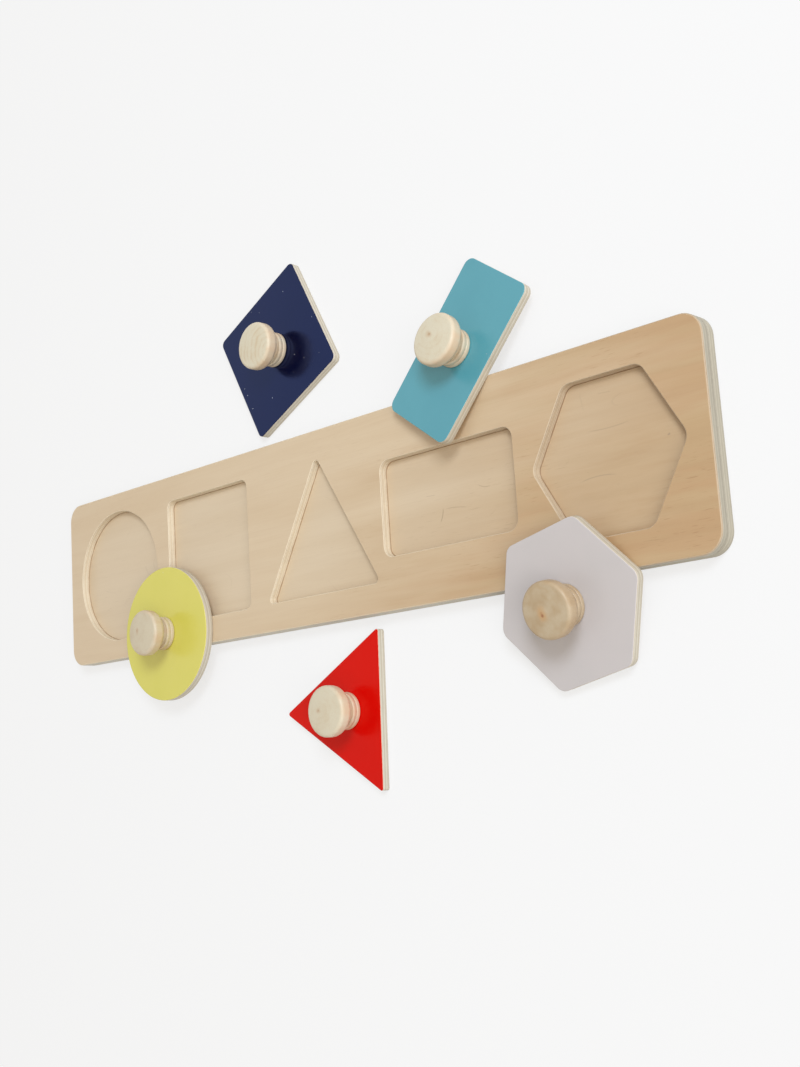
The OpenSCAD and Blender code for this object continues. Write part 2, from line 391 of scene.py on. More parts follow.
class Graph:
    """Short hand for filling a node tree."""

    def __init__(self, tree: NodeTree) -> None:
        """Takes the tree that gets the nodes."""
        self.tree = tree

    def node(self, kind: str, inputs: Inputs | None = None, **settings: object) -> bpy.types.Node:
        """Adds a node.

        Args:
            kind: Type of the node.
            inputs: Value or source socket for each input, by name or number.
            settings: Properties of the node.

        Returns:
            The node.
        """
        made = self.tree.nodes.new(kind)
        for name, value in settings.items():
            setattr(made, name, value)
        for key, value in (inputs or {}).items():
            self.feed(value, made.inputs[key])
        return made

    def feed(self, value: object, target: Socket) -> None:
        """Links a source socket to an input, or sets the input's value; a colour gets full alpha."""
        if isinstance(value, Socket):
            self.tree.links.new(value, target)
        else:
            target.default_value = (*value, 1.0) if target.type == "RGBA" else value

    def math(self, operation: str, *values: float | Socket) -> Socket:
        """Gives the result of a Math node on values or sockets."""
        return self.node("ShaderNodeMath", dict(enumerate(values)), operation=operation).outputs[0]

    def times(self, first: float | Socket, second: float | Socket) -> Socket:
        """Gives the product of two values."""
        return self.math("MULTIPLY", first, second)

    def vector(self, operation: str, *values: Colour | Socket) -> Outputs:
        """Gives the outputs of a Vector Math node on vectors or sockets."""
        return self.node("ShaderNodeVectorMath", dict(enumerate(values)), operation=operation).outputs

    def axes(self, vector: Socket) -> tuple[Socket, Socket, Socket]:
        """Gives a vector's three numbers."""
        return tuple(self.node("ShaderNodeSeparateXYZ", {0: vector}).outputs)

    def noise(self, place: Socket, pattern: Pattern) -> Socket:
        """Gives the value of a noise at a place."""
        inputs = {"Vector": self.vector("MULTIPLY", place, pattern.cells)[0], "Scale": 1.0}
        inputs |= {"Detail": pattern.detail, "Roughness": pattern.rough}
        return self.node("ShaderNodeTexNoise", inputs).outputs[0]

    def sway(self, place: Socket, pattern: Pattern) -> Socket:
        """Gives the value of a noise at a place, about zero."""
        return self.math("SUBTRACT", self.noise(place, pattern), NOISE_MIDDLE)

    def ramp(self, value: Socket, span: Span) -> Socket:
        """Gives a value eased from one range to another and held at its ends."""
        inputs = {0: value, 1: span.low, 2: span.high, 3: span.to_low, 4: span.to_high}
        return self.node("ShaderNodeMapRange", inputs, interpolation_type="SMOOTHSTEP").outputs[0]

    def mix(
        self, share: Socket, first: Colour | Socket, second: Colour | Socket, blend: str = "MIX"
    ) -> Socket:
        """Gives a blend of two colours."""
        inputs = {0: share, 6: first, 7: second}
        return self.node("ShaderNodeMix", inputs, data_type="RGBA", blend_type=blend).outputs[2]

    def attribute(self, name: str) -> Outputs:
        """Gives the outputs of an Attribute node."""
        return self.node("ShaderNodeAttribute", attribute_name=name).outputs

    def place(self) -> Socket:
        """Gives a point's place on its own piece, in mm."""
        return self.attribute(PLACE_ATTRIBUTE)["Vector"]

    def rim(self) -> Socket:
        """Gives a point's distance from the rim, in mm."""
        return self.attribute(RIM_ATTRIBUTE)["Fac"]

    def traits(self) -> tuple[Socket, Socket, Socket]:
        """Gives the three numbers that a knob carries for its finish."""
        return self.axes(self.attribute(TRAITS_ATTRIBUTE)["Vector"])

    def use(self, group: NodeTree, inputs: Inputs) -> Outputs:
        """Places a node group and gives its outputs."""
        return self.node("ShaderNodeGroup", inputs, node_tree=group).outputs


class Coat(Graph):
    """A material under construction, with its Principled shader."""

    def __init__(self, name: str) -> None:
        """Makes the material by its name."""
        self.material = bpy.data.materials.new(name)
        self.material.use_nodes = True
        super().__init__(self.material.node_tree)
        self.shader = self.tree.nodes["Principled BSDF"]

    def done(
        self, tint: Socket, rough: Socket, relief: Socket, depth_mm: float, strength: float
    ) -> Material:
        """Links the results to the shader, the relief through a Bump node.

        Args:
            tint: Colour of the surface.
            rough: Its roughness.
            relief: Its height from 0 to 1.
            depth_mm: Height of the relief in mm.
            strength: Strength of the relief.

        Returns:
            The finished material.
        """
        inputs = {"Height": relief, "Distance": depth_mm * MM, "Strength": strength}
        bump = self.node("ShaderNodeBump", inputs).outputs[0]
        for name, source in {"Base Color": tint, "Roughness": rough, "Normal": bump}.items():
            self.feed(source, self.shader.inputs[name])
        return self.material


class Effect(Graph):
    """A shader node group under construction, with named sockets."""

    KINDS = {"vector": "NodeSocketVector", "colour": "NodeSocketColor", "value": "NodeSocketFloat"}

    def __init__(self, name: str, inputs: dict[str, str], outputs: dict[str, str]) -> None:
        """Makes the group and its sockets.

        Args:
            name: Name of the effect.
            inputs: Kind of each input, by name.
            outputs: Kind of each output, by name.
        """
        super().__init__(bpy.data.node_groups.new(name, "ShaderNodeTree"))
        for way, kinds in (("INPUT", inputs), ("OUTPUT", outputs)):
            for label, kind in kinds.items():
                self.tree.interface.new_socket(label, in_out=way, socket_type=self.KINDS[kind])
        self.given = self.tree.nodes.new("NodeGroupInput").outputs
        self.results = self.tree.nodes.new("NodeGroupOutput").inputs

    def give(self, **results: Socket) -> NodeTree:
        """Links the results to the outputs of the same names and gives the finished group."""
        for label, source in results.items():
            self.feed(source, self.results[label])
        return self.tree


# Effects that finishes share

STREAK = Pattern((0.0045, 0.06, 0.06), 4.0, 0.6)
STREAK_SPAN = Span(0.34, 0.7)
FIBRE = Pattern((0.022, 1.3, 1.3), 3.0, 0.6)
FIBRE_SPAN = Span(0.42, 0.75, 0.0, 0.3)
FLECK_CLUSTER = Pattern((0.01, 0.03, 0.03), 1.0)
FLECK_CLUSTER_SPAN = Span(0.42, 0.66)
FLECK_DASH = Pattern((0.12, 1.7, 1.7), 1.0)
FLECK_DASH_SPAN = Span(0.63, 0.78)
FLECK_DEPTH = 0.6
GROWTH_BEND = Pattern((0.0035, 0.013, 0.013), 2.0, 0.45)
GROWTH_BENT = 26.0
GROWTH_PER_MM = 0.42
GROWTH_FIBRE = 1.8
GROWTH_SPAN = Span(0.35, 1.0)


def straight_grain() -> NodeTree:
    """Makes the figure of a sliced veneer whose fibres run along X.

    Noises stretched along X give broad streaks, fibres and short flecks. The sine of the place
    across the grain, bent by a slow noise, gives the growth lines.

    Returns:
        The group, with a colour and a height.
    """
    kinds = {"Place": "vector", "Pale": "colour", "Tan": "colour", "Dark": "colour"}
    kinds |= {"Streaks": "value", "Lines": "value", "Flecks": "value"}
    effect = Effect("straight_grain", kinds, {"Tint": "colour", "Relief": "value"})
    given = effect.given
    place = given["Place"]
    streak = effect.ramp(effect.noise(place, STREAK), STREAK_SPAN)
    fibre = effect.noise(place, FIBRE)
    cluster = effect.ramp(effect.noise(place, FLECK_CLUSTER), FLECK_CLUSTER_SPAN)
    dash = effect.ramp(effect.noise(place, FLECK_DASH), FLECK_DASH_SPAN)
    bend = effect.noise(place, GROWTH_BEND)
    straight = effect.times(effect.axes(place)[1], GROWTH_PER_MM)
    across = effect.math("MULTIPLY_ADD", bend, GROWTH_BENT, straight)
    wave = effect.math("SINE", effect.math("ADD", across, effect.times(fibre, GROWTH_FIBRE)))
    line = effect.ramp(wave, GROWTH_SPAN)
    tint = effect.mix(effect.times(streak, given["Streaks"]), given["Pale"], given["Tan"])
    tint = effect.mix(effect.ramp(fibre, FIBRE_SPAN), tint, given["Tan"])
    tint = effect.mix(effect.times(line, given["Lines"]), tint, given["Dark"])
    fleck = effect.times(effect.times(dash, cluster), given["Flecks"])
    tint = effect.mix(fleck, tint, given["Dark"])
    relief = effect.math("SUBTRACT", fibre, effect.times(fleck, FLECK_DEPTH))
    return effect.give(Tint=tint, Relief=relief)


LAYER_SWAY = Pattern((0.05, 0.05, 0.2))
LAYER_SWAY_MM = 0.45
CROSSED_SPAN = Span(0.47, 0.53)
CROSSED_SHARE = 0.75
GLUE_SPAN = Span(0.0, 0.17, 1.0, 0.0)
GLUE_BREAKS = Pattern((0.06, 0.06, 0.06))
GLUE_BREAKS_SPAN = Span(0.35, 0.6, 0.25, 0.75)
GRIT = Pattern((0.9, 0.9, 2.4), 3.0, 0.6)
GRIT_SPAN = Span(0.5, 0.8, 0.0, 0.3)
SMEAR = Pattern((0.035, 0.035, 1.7))
SMEAR_SPAN = Span(0.45, 0.75, 0.0, 0.35)


def ply_layers() -> NodeTree:
    """Makes the cut edge of a plywood sheet.

    The height through the sheet, made slightly uneven, is split into layers. Each second layer
    shows its end grain and is a little darker, and a thin line of glue shows between layers.

    Returns:
        The group, with a colour and a height.
    """
    kinds = {"Place": "vector", "Pale": "colour", "Dark": "colour", "Glue": "colour", "Layer": "value"}
    effect = Effect("ply_layers", kinds, {"Tint": "colour", "Relief": "value"})
    given = effect.given
    place = given["Place"]
    sway = effect.times(effect.sway(place, LAYER_SWAY), LAYER_SWAY_MM)
    level = effect.math("DIVIDE", effect.math("ADD", effect.axes(place)[2], sway), given["Layer"])
    crossed = effect.ramp(effect.math("PINGPONG", level, 1.0), CROSSED_SPAN)
    step = effect.math("PINGPONG", effect.math("ADD", level, 0.5), 0.5)
    glue = effect.ramp(step, GLUE_SPAN)
    grit = effect.noise(place, GRIT)
    smear = effect.noise(place, SMEAR)
    tint = effect.mix(effect.times(crossed, CROSSED_SHARE), given["Pale"], given["Dark"])
    tint = effect.mix(effect.ramp(smear, SMEAR_SPAN), tint, given["Dark"])
    tint = effect.mix(effect.ramp(grit, GRIT_SPAN), tint, given["Glue"])
    broken = effect.ramp(effect.noise(place, GLUE_BREAKS), GLUE_BREAKS_SPAN)
    tint = effect.mix(effect.times(glue, broken), tint, given["Glue"])
    return effect.give(Tint=tint, Relief=effect.math("SUBTRACT", grit, glue))


SPECK_CELLS = 0.16
SPECK_SMALLEST = 0.02
SPECK_SPREAD = 0.035


def dust_specks() -> NodeTree:
    """Makes rare tiny specks: the middles of a few cells of a fine pattern.

    Returns:
        The group, with a mask.
    """
    effect = Effect("dust_specks", {"Place": "vector", "Share": "value"}, {"Mask": "value"})
    inputs = {"Vector": effect.given["Place"], "Scale": SPECK_CELLS}
    cells = effect.node("ShaderNodeTexVoronoi", inputs, voronoi_dimensions="2D").outputs
    choice, size, _ = effect.axes(cells["Color"])
    reach = effect.math("MULTIPLY_ADD", size, SPECK_SPREAD, SPECK_SMALLEST)
    near = effect.math("LESS_THAN", cells["Distance"], reach)
    chosen = effect.math("LESS_THAN", choice, effect.given["Share"])
    return effect.give(Mask=effect.times(near, chosen))


SCUFF_COURSE = Pattern((0.018, 0.03, 0.03), 1.0, 0.4)
SCUFF_PATCH = Pattern((0.05, 0.05, 0.05), 2.0, 0.6)
SCUFF_PATCH_SPAN = Span(0.56, 0.66)
SCUFF_WIDTH = 0.0035


def fine_scuffs() -> NodeTree:
    """Makes a few short thin scratches: narrow bands of a slow noise, broken by another.

    Returns:
        The group, with a mask.
    """
    effect = Effect("fine_scuffs", {"Place": "vector", "Width": "value"}, {"Mask": "value"})
    place = effect.given["Place"]
    off = effect.math("ABSOLUTE", effect.sway(place, SCUFF_COURSE))
    thin = effect.math("LESS_THAN", off, effect.given["Width"])
    patch = effect.ramp(effect.noise(place, SCUFF_PATCH), SCUFF_PATCH_SPAN)
    return effect.give(Mask=effect.times(thin, patch))


SCRATCH_ENDS = Span(0.5, 1.0, 1.0, 0.0)
SCRATCH_SIDES = Span(0.2, 1.0, 1.0, 0.0)


def scratch_mark() -> NodeTree:
    """Makes one short bowed scratch: a thin band about a parabola, faded at its two ends.

    Returns:
        The group, with a mask.
    """
    kinds = {"Place": "vector", "Middle": "vector", "Turn": "value"}
    kinds |= {"Half": "value", "Bow": "value", "Width": "value"}
    effect = Effect("scratch_mark", kinds, {"Mask": "value"})
    given = effect.given
    inputs = {"Vector": given["Place"], "Center": given["Middle"], "Angle": given["Turn"]}
    turned = effect.node("ShaderNodeVectorRotate", inputs, rotation_type="Z_AXIS").outputs[0]
    along, across, _ = effect.axes(effect.vector("SUBTRACT", turned, given["Middle"])[0])
    share = effect.math("DIVIDE", along, given["Half"])
    bow = effect.times(effect.times(share, share), given["Bow"])
    off = effect.math("ABSOLUTE", effect.math("SUBTRACT", across, bow))
    sides = effect.ramp(effect.math("DIVIDE", off, given["Width"]), SCRATCH_SIDES)
    ends = effect.ramp(effect.math("ABSOLUTE", share), SCRATCH_ENDS)
    return effect.give(Mask=effect.times(sides, ends))


@dataclass
class Effects:
    """The node groups that the finishes share."""

    grain: NodeTree = field(default_factory=straight_grain)
    ply: NodeTree = field(default_factory=ply_layers)
    specks: NodeTree = field(default_factory=dust_specks)
    scuffs: NodeTree = field(default_factory=fine_scuffs)
    mark: NodeTree = field(default_factory=scratch_mark)


# Finishes


@dataclass(frozen=True)
class Mark:
    """A single scratch on a face: its middle, half length, turn in degrees, bow and width, in mm."""

    x: float
    y: float
    half: float
    turn: float
    bow: float = 0.0
    width: float = 0.35
    depth: float = 0.35

    def mask(self, graph: Graph, effects: Effects, place: Socket) -> Socket:
        """Adds the scratch to a graph.

        Args:
            graph: Graph of the material.
            effects: The shared node groups.
            place: A point's place on the piece.

        Returns:
            Its mask, from 0 to its depth.
        """
        values = {"Place": place, "Middle": (self.x, self.y, 0.0), "Turn": -math.radians(self.turn)}
        values |= {"Half": self.half, "Bow": self.bow, "Width": self.width}
        return graph.times(graph.use(effects.mark, values)["Mask"], self.depth)


@dataclass(frozen=True)
class VeneerFinish:
    """Lacquered veneer face of a sheet."""

    name: str
    pale: Colour
    tan: Colour
    dark: Colour
    warm: Colour
    straw: Colour
    streaks: float
    lines: float
    flecks: float
    scuffs: float = 0.0
    gloss: float = 0.5
    duller: float = 0.08
    glossier: float = 0.06
    sheen: float = 0.4
    warm_span: Span = Span(-20.0, 300.0)
    warm_sway: float = 320.0
    warm_skew: float = 0.8
    warm_cloud: Pattern = Pattern((0.007, 0.05, 0.05), 3.0, 0.55)
    plain_figure: float = 0.4
    band: Pattern = Pattern((0.012, 0.09, 0.09), 4.0, 0.6)
    band_span: Span = Span(0.42, 0.62)
    relief_span: tuple[float, float] = (0.2, 0.8)
    relief_mm: float = 0.05
    relief: float = 0.35
    marks: tuple[Mark, ...] = ()

    def material(self, effects: Effects) -> Material:
        """Makes the material: grain, a warmer tone towards one end, scratches and a fine relief.

        Args:
            effects: The shared node groups.

        Returns:
            The material.
        """
        coat = Coat(self.name)
        place = coat.place()
        x, y, _ = coat.axes(place)
        cloud = coat.sway(place, self.warm_cloud)
        along = coat.math("MULTIPLY_ADD", cloud, self.warm_sway, x)
        along = coat.math("MULTIPLY_ADD", y, -self.warm_skew, along)
        warmth = coat.ramp(along, self.warm_span)
        figure = coat.math("MULTIPLY_ADD", warmth, 1 - self.plain_figure, self.plain_figure)
        values = {"Place": place, "Pale": self.pale, "Tan": self.tan, "Dark": self.dark}
        values["Streaks"] = self.streaks
        values["Lines"] = coat.times(figure, self.lines)
        values["Flecks"] = coat.times(figure, self.flecks)
        grain = coat.use(effects.grain, values)
        warm = coat.mix(coat.ramp(coat.noise(place, self.band), self.band_span), self.warm, self.straw)
        tint = coat.mix(warmth, grain["Tint"], warm, "MULTIPLY")
        if self.scuffs:
            scuff = coat.use(effects.scuffs, {"Place": place, "Width": SCUFF_WIDTH})["Mask"]
            tint = coat.mix(coat.times(scuff, self.scuffs), tint, self.dark)
        for mark in self.marks:
            tint = coat.mix(mark.mask(coat, effects, place), tint, self.dark)
        gloss_span = Span(*self.relief_span, self.gloss + self.duller, self.gloss - self.glossier)
        coat.feed(self.sheen, coat.shader.inputs["Specular IOR Level"])
        rough = coat.ramp(grain["Relief"], gloss_span)
        return coat.done(tint, rough, grain["Relief"], self.relief_mm, self.relief)


@dataclass(frozen=True)
class EdgeFinish:
    """Sanded cut edge of a plywood sheet."""

    name: str
    pale: Colour
    dark: Colour
    glue: Colour
    layer_mm: float = 1.1
    # Share of the glue colour along the wall's foot: the dark line is partly glue, partly painted shade
    # in the corner
    foot: float = 0.0
    foot_shade_spread: Pattern = Pattern((0.15, 0.15, 0.15))
    foot_uneven_mm: float = 0.6
    foot_glue_and_shade_mm: tuple[float, float] = (-0.1, 0.45)
    warm: Colour = (1.0, 1.0, 1.0)
    warm_span: Span = Span(-20.0, 300.0)
    gloss_span: Span = Span(-0.5, 1.0, 0.68, 0.56)
    relief_mm: float = 0.08
    relief: float = 0.4

    def material(self, effects: Effects) -> Material:
        """Makes the material: sheet layers with a fine grit, and glue and painted shade along its foot.

        Args:
            effects: The shared node groups.

        Returns:
            The material.
        """
        coat = Coat(self.name)
        place = coat.place()
        values = {"Place": place, "Pale": self.pale, "Dark": self.dark}
        values |= {"Glue": self.glue, "Layer": self.layer_mm}
        ply = coat.use(effects.ply, values)
        tint = ply["Tint"]
        # The dark line at the foot is partly glue and partly painted shade where the wall meets the
        # floor
        if self.foot:
            spread = coat.noise(place, self.foot_shade_spread)
            height = coat.math("MULTIPLY_ADD", spread, -self.foot_uneven_mm, coat.rim())
            tint = coat.mix(coat.ramp(height, Span(*self.foot_glue_and_shade_mm, self.foot, 0.0)), tint, self.glue)
        warmth = coat.ramp(coat.axes(place)[0], self.warm_span)
        tint = coat.mix(warmth, tint, self.warm, "MULTIPLY")
        rough = coat.ramp(ply["Relief"], self.gloss_span)
        return coat.done(tint, rough, ply["Relief"], self.relief_mm, self.relief)


@dataclass(frozen=True)
class PaintFinish:
    """Satin paint on the face of a plate."""

    name: str
    slot: Slot
    colour: Colour
    shade: Colour
    gloss: float = 0.22
    duller: float = 0.04
    glossier: float = 0.02
    sheen: float = 0.5
    sheen_tint: Colour = (1.0, 1.0, 1.0)
    cloud: Pattern = Pattern((0.03, 0.03, 0.03), 3.0)
    cloud_span: tuple[float, float] = (0.3, 0.7)
    wood: Colour = (0.72, 0.62, 0.46)
    ragged: Pattern = Pattern((0.4, 0.4, 0.4))
    ragged_mm: float = 0.14
    bare_span: Span = Span(-0.02, 0.07, 1.0, 0.0)
    bare_rough: float = 0.3
    specks: float = 0.015
    speck_share: float = 0.6
    dust: Colour = (0.7, 0.72, 0.74)
    peel: Pattern = Pattern((0.55, 0.55, 0.55))
    peel_share: float = 0.6
    grain: Pattern = Pattern((0.03, 1.1, 1.1))
    relief_mm: float = 0.04
    relief: float = 0.2

    def material(self, effects: Effects) -> Material:
        """Makes the material: even paint that stops raggedly on the rim, with a little dust.

        Args:
            effects: The shared node groups.

        Returns:
            The material.
        """
        coat = Coat(self.name)
        place = coat.place()
        cloud = coat.noise(place, self.cloud)
        tint = coat.mix(coat.ramp(cloud, Span(*self.cloud_span)), self.colour, self.shade)
        ragged = coat.math("MULTIPLY_ADD", coat.noise(place, self.ragged), -self.ragged_mm, coat.rim())
        bare = coat.ramp(ragged, self.bare_span)
        tint = coat.mix(bare, tint, self.wood)
        speck = coat.use(effects.specks, {"Place": place, "Share": self.specks})["Mask"]
        tint = coat.mix(coat.times(speck, self.speck_share), tint, self.dust)
        gloss_span = Span(*self.cloud_span, self.gloss - self.glossier, self.gloss + self.duller)
        rough = coat.math("MULTIPLY_ADD", bare, self.bare_rough, coat.ramp(cloud, gloss_span))
        coat.feed(self.sheen, coat.shader.inputs["Specular IOR Level"])
        coat.feed(self.sheen_tint, coat.shader.inputs["Specular Tint"])
        grain = coat.times(coat.noise(place, self.grain), 1 - self.peel_share)
        relief = coat.math("MULTIPLY_ADD", coat.noise(place, self.peel), self.peel_share, grain)
        return coat.done(tint, rough, relief, self.relief_mm, self.relief)


@dataclass(frozen=True)
class TurnedFinish:
    """Lacquered wood of the turned knobs, with the pith at the origin of the finish's place."""

    name: str
    pale: Colour
    ring: Colour
    brown: Colour
    # Warmer, darker colour of the sides: partly long grain, partly painted shade on the upright sides
    flank: Colour
    pith: Colour
    core: Colour
    ring_mm: float
    ring_squash: float = 0.75
    ring_span: Span = Span(-0.2, 1.0)
    ring_fade: Span = Span(0.35, 0.7)
    warp: Pattern = Pattern((0.1, 0.1, 0.02), 3.0, 0.55)
    warp_mm: float = 5.0
    fibre: Pattern = Pattern((1.2, 1.2, 0.05), 3.0, 0.6)
    fibre_span: Span = Span(0.45, 0.78, 0.0, 0.35)
    blotch: Pattern = Pattern((0.09, 0.09, 0.03), 3.0, 0.55)
    blotch_span: Span = Span(0.4, 0.75, 0.0, 0.35)
    flank_shade_span: Span = Span(0.3, 0.62, 0.2, 0.95)
    brown_span: Span = Span(0.2, 0.8, 0.6, 1.0)
    pith_uneven_mm: float = 1.6
    stain_mm: tuple[float, float] = (3.2, 4.4)
    stain_growth_mm: float = 2.8
    heart_span: Span = Span(3.0, 4.7, 1.0, 0.0)
    gloss_span: Span = Span(0.3, 0.8, 0.38, 0.5)
    relief_mm: float = 0.04
    relief: float = 0.3

    def material(self) -> Material:
        """Makes the material: growth rings about the pith, fibres along the axis and a pith spot.

        The distance from the pith, bent by a noise, gives the rings. They run through the whole
        knob, so the crown shows rings and the sides show long grain. The sides are warmer and darker,
        partly for the long grain and partly as painted shade on the upright sides. Each knob's
        three traits are its brownness, the strength of its pith spot and the strength of its rings.

        Returns:
            The material.
        """
        coat = Coat(self.name)
        place = coat.place()
        brownness, spot, rings = coat.traits()
        reach = coat.vector("LENGTH", coat.vector("MULTIPLY", place, (1.0, self.ring_squash, 0.0))[0])
        bent = coat.math("MULTIPLY_ADD", coat.noise(place, self.warp), self.warp_mm, reach["Value"])
        wave = coat.math("SINE", coat.times(bent, 2 * math.pi / self.ring_mm))
        fibre = coat.noise(place, self.fibre)
        blotch = coat.noise(place, self.blotch)
        tint = coat.mix(coat.ramp(blotch, self.blotch_span), self.pale, self.ring)
        faded = coat.times(coat.ramp(blotch, self.ring_fade), rings)
        tint = coat.mix(coat.times(coat.ramp(wave, self.ring_span), faded), tint, self.ring)
        tint = coat.mix(coat.ramp(fibre, self.fibre_span), tint, self.ring)
        # The sides take the flank colour: partly long grain, partly painted shade on the upright sides
        flank = coat.times(coat.ramp(blotch, self.flank_shade_span), coat.rim())
        tint = coat.mix(flank, tint, self.flank)
        brown = coat.times(coat.ramp(blotch, self.brown_span), brownness)
        tint = coat.mix(brown, tint, self.brown)
        uneven = coat.math("MULTIPLY_ADD", fibre, self.pith_uneven_mm, bent)
        start, end = self.stain_mm
        end = coat.math("MULTIPLY_ADD", spot, self.stain_growth_mm, end)
        stain = coat.ramp(uneven, Span(start, end, 1.0, 0.0))
        tint = coat.mix(coat.times(stain, spot), tint, self.pith)
        heart = coat.ramp(uneven, self.heart_span)
        tint = coat.mix(coat.times(heart, spot), tint, self.core)
        rough = coat.ramp(fibre, self.gloss_span)
        return coat.done(tint, rough, fibre, self.relief_mm, self.relief)


@dataclass(frozen=True)
class SteelFinish:
    """Plain zinc of the screws."""

    name: str
    bright: Colour
    dull: Colour
    cloud: Pattern = Pattern((0.9, 0.9, 0.9), 3.0, 0.6)
    scratches: Pattern = Pattern((6.0, 6.0, 6.0))
    gloss_span: Span = Span(0.3, 0.7, 0.3, 0.46)
    relief_mm: float = 0.02
    relief: float = 0.3

    def material(self) -> Material:
        """Makes the material: cloudy plated metal with fine scratches.

        Returns:
            The material.
        """
        coat = Coat(self.name)
        metres = coat.node("ShaderNodeTexCoord").outputs["Object"]
        place = coat.vector("MULTIPLY", metres, (1 / MM, 1 / MM, 1 / MM))[0]
        cloud = coat.noise(place, self.cloud)
        coat.feed(1.0, coat.shader.inputs["Metallic"])
        tint = coat.mix(cloud, self.bright, self.dull)
        scratches = coat.noise(place, self.scratches)
        rough = coat.ramp(cloud, self.gloss_span)
        return coat.done(tint, rough, scratches, self.relief_mm, self.relief)


BOARD_FACE = VeneerFinish(
    name="board_face_veneer",
    pale=(0.66, 0.52, 0.35),
    tan=(0.58, 0.425, 0.255),
    dark=(0.4, 0.24, 0.11),
    warm=(0.755, 0.615, 0.47),
    straw=(0.765, 0.66, 0.515),
    streaks=0.45,
    lines=0.08,
    flecks=0.5,
    gloss=0.45,
    sheen=0.9,
)
RECESS_FLOOR = VeneerFinish(
    name="recess_floor_veneer",
    pale=(0.668, 0.543, 0.383),
    tan=(0.598, 0.463, 0.303),
    dark=(0.34, 0.24, 0.15),
    warm=(0.75, 0.63, 0.5),
    straw=(0.79, 0.69, 0.57),
    streaks=0.5,
    lines=0.04,
    flecks=0.35,
    scuffs=0.12,
    gloss=0.5,
    sheen=0.8,
    warm_sway=150.0,
    marks=(
        Mark(95.9, -10.5, 4.6, 71.6, bow=0.8, width=0.55, depth=0.65),
        Mark(107.0, -7.6, 9.2, -6.7, bow=-0.6, depth=0.5),
        Mark(127.8, 0.2, 5.4, -13.9, bow=1.2, depth=0.5),
        Mark(87.6, 2.4, 4.4, -2.9, depth=0.3),
        Mark(204.3, -9.0, 13.0, 0.2, bow=-1.6, width=0.45, depth=0.5),
        Mark(213.3, 14.6, 15.0, 0.2, bow=1.0, width=0.4, depth=0.42),
        Mark(212.6, 33.4, 5.0, -4.7, depth=0.3),
        Mark(248.6, 3.5, 1.0, 20.0, width=0.7, depth=0.75),
    ),
)
PLATE_BACK = VeneerFinish(
    name="plate_back_veneer",
    pale=(0.71, 0.575, 0.41),
    tan=(0.62, 0.475, 0.315),
    dark=(0.42, 0.27, 0.15),
    warm=(0.95, 0.92, 0.88),
    straw=(0.97, 0.95, 0.9),
    streaks=0.5,
    lines=0.08,
    flecks=0.4,
)
BOARD_EDGE = EdgeFinish(
    name="board_edge_ply",
    pale=(0.66, 0.62, 0.525),
    dark=(0.54, 0.5, 0.41),
    glue=(0.38, 0.33, 0.255),
    warm=(0.69, 0.67, 0.62),
)
RECESS_WALL = EdgeFinish(
    name="recess_wall_ply",
    pale=(0.81, 0.725, 0.575),
    dark=(0.725, 0.62, 0.45),
    # This dark glue colour also paints the shade along the foot of the walls
    glue=(0.31, 0.18, 0.08),
    foot=0.9,
    warm=(0.67, 0.595, 0.535),
)
PLATE_EDGE = EdgeFinish(
    name="plate_edge_ply",
    pale=(0.62, 0.58, 0.485),
    dark=(0.485, 0.425, 0.32),
    glue=(0.37, 0.29, 0.2),
)
KNOB_WOOD = TurnedFinish(
    name="turned_knob_wood",
    pale=(0.675, 0.615, 0.47),
    ring=(0.59, 0.47, 0.3),
    brown=(0.4, 0.28, 0.155),
    # The flank colour is partly long grain, partly painted shade on the knobs' upright sides
    flank=(0.68, 0.51, 0.345),
    pith=(0.51, 0.32, 0.155),
    core=(0.32, 0.14, 0.06),
    ring_mm=3.2,
)
SCREW_ZINC = SteelFinish(name="screw_zinc", bright=(0.66, 0.66, 0.63), dull=(0.5, 0.5, 0.48))

PAINTS = {
    Shape.DISC: PaintFinish(
        "yellow_face_paint", Slot.YELLOW, (0.66, 0.61, 0.105), (0.68, 0.625, 0.12), sheen=0.6
    ),
    Shape.SQUARE: PaintFinish(
        "navy_face_paint",
        Slot.NAVY,
        (0.0003, 0.0006, 0.013),
        (0.0005, 0.001, 0.016),
        gloss=0.15,
        sheen=0.9,
        sheen_tint=(0.1, 0.24, 0.9),
        specks=0.1,
    ),
    Shape.TRIANGLE: PaintFinish(
        "red_face_paint",
        Slot.RED,
        (0.63, 0.0005, 0.0003),
        (0.66, 0.0015, 0.0005),
        gloss=0.18,
        sheen=0.35,
        sheen_tint=(1.0, 0.3, 0.1),
        specks=0.0,
    ),
    Shape.RECTANGLE: PaintFinish(
        "teal_face_paint", Slot.TEAL, (0.08, 0.315, 0.38), (0.088, 0.33, 0.395), sheen=0.6
    ),
    Shape.HEXAGON: PaintFinish(
        "lilac_face_paint",
        Slot.LILAC,
        (0.555, 0.52, 0.51),
        (0.575, 0.535, 0.525),
        gloss=0.33,
        sheen=0.3,
    ),
}


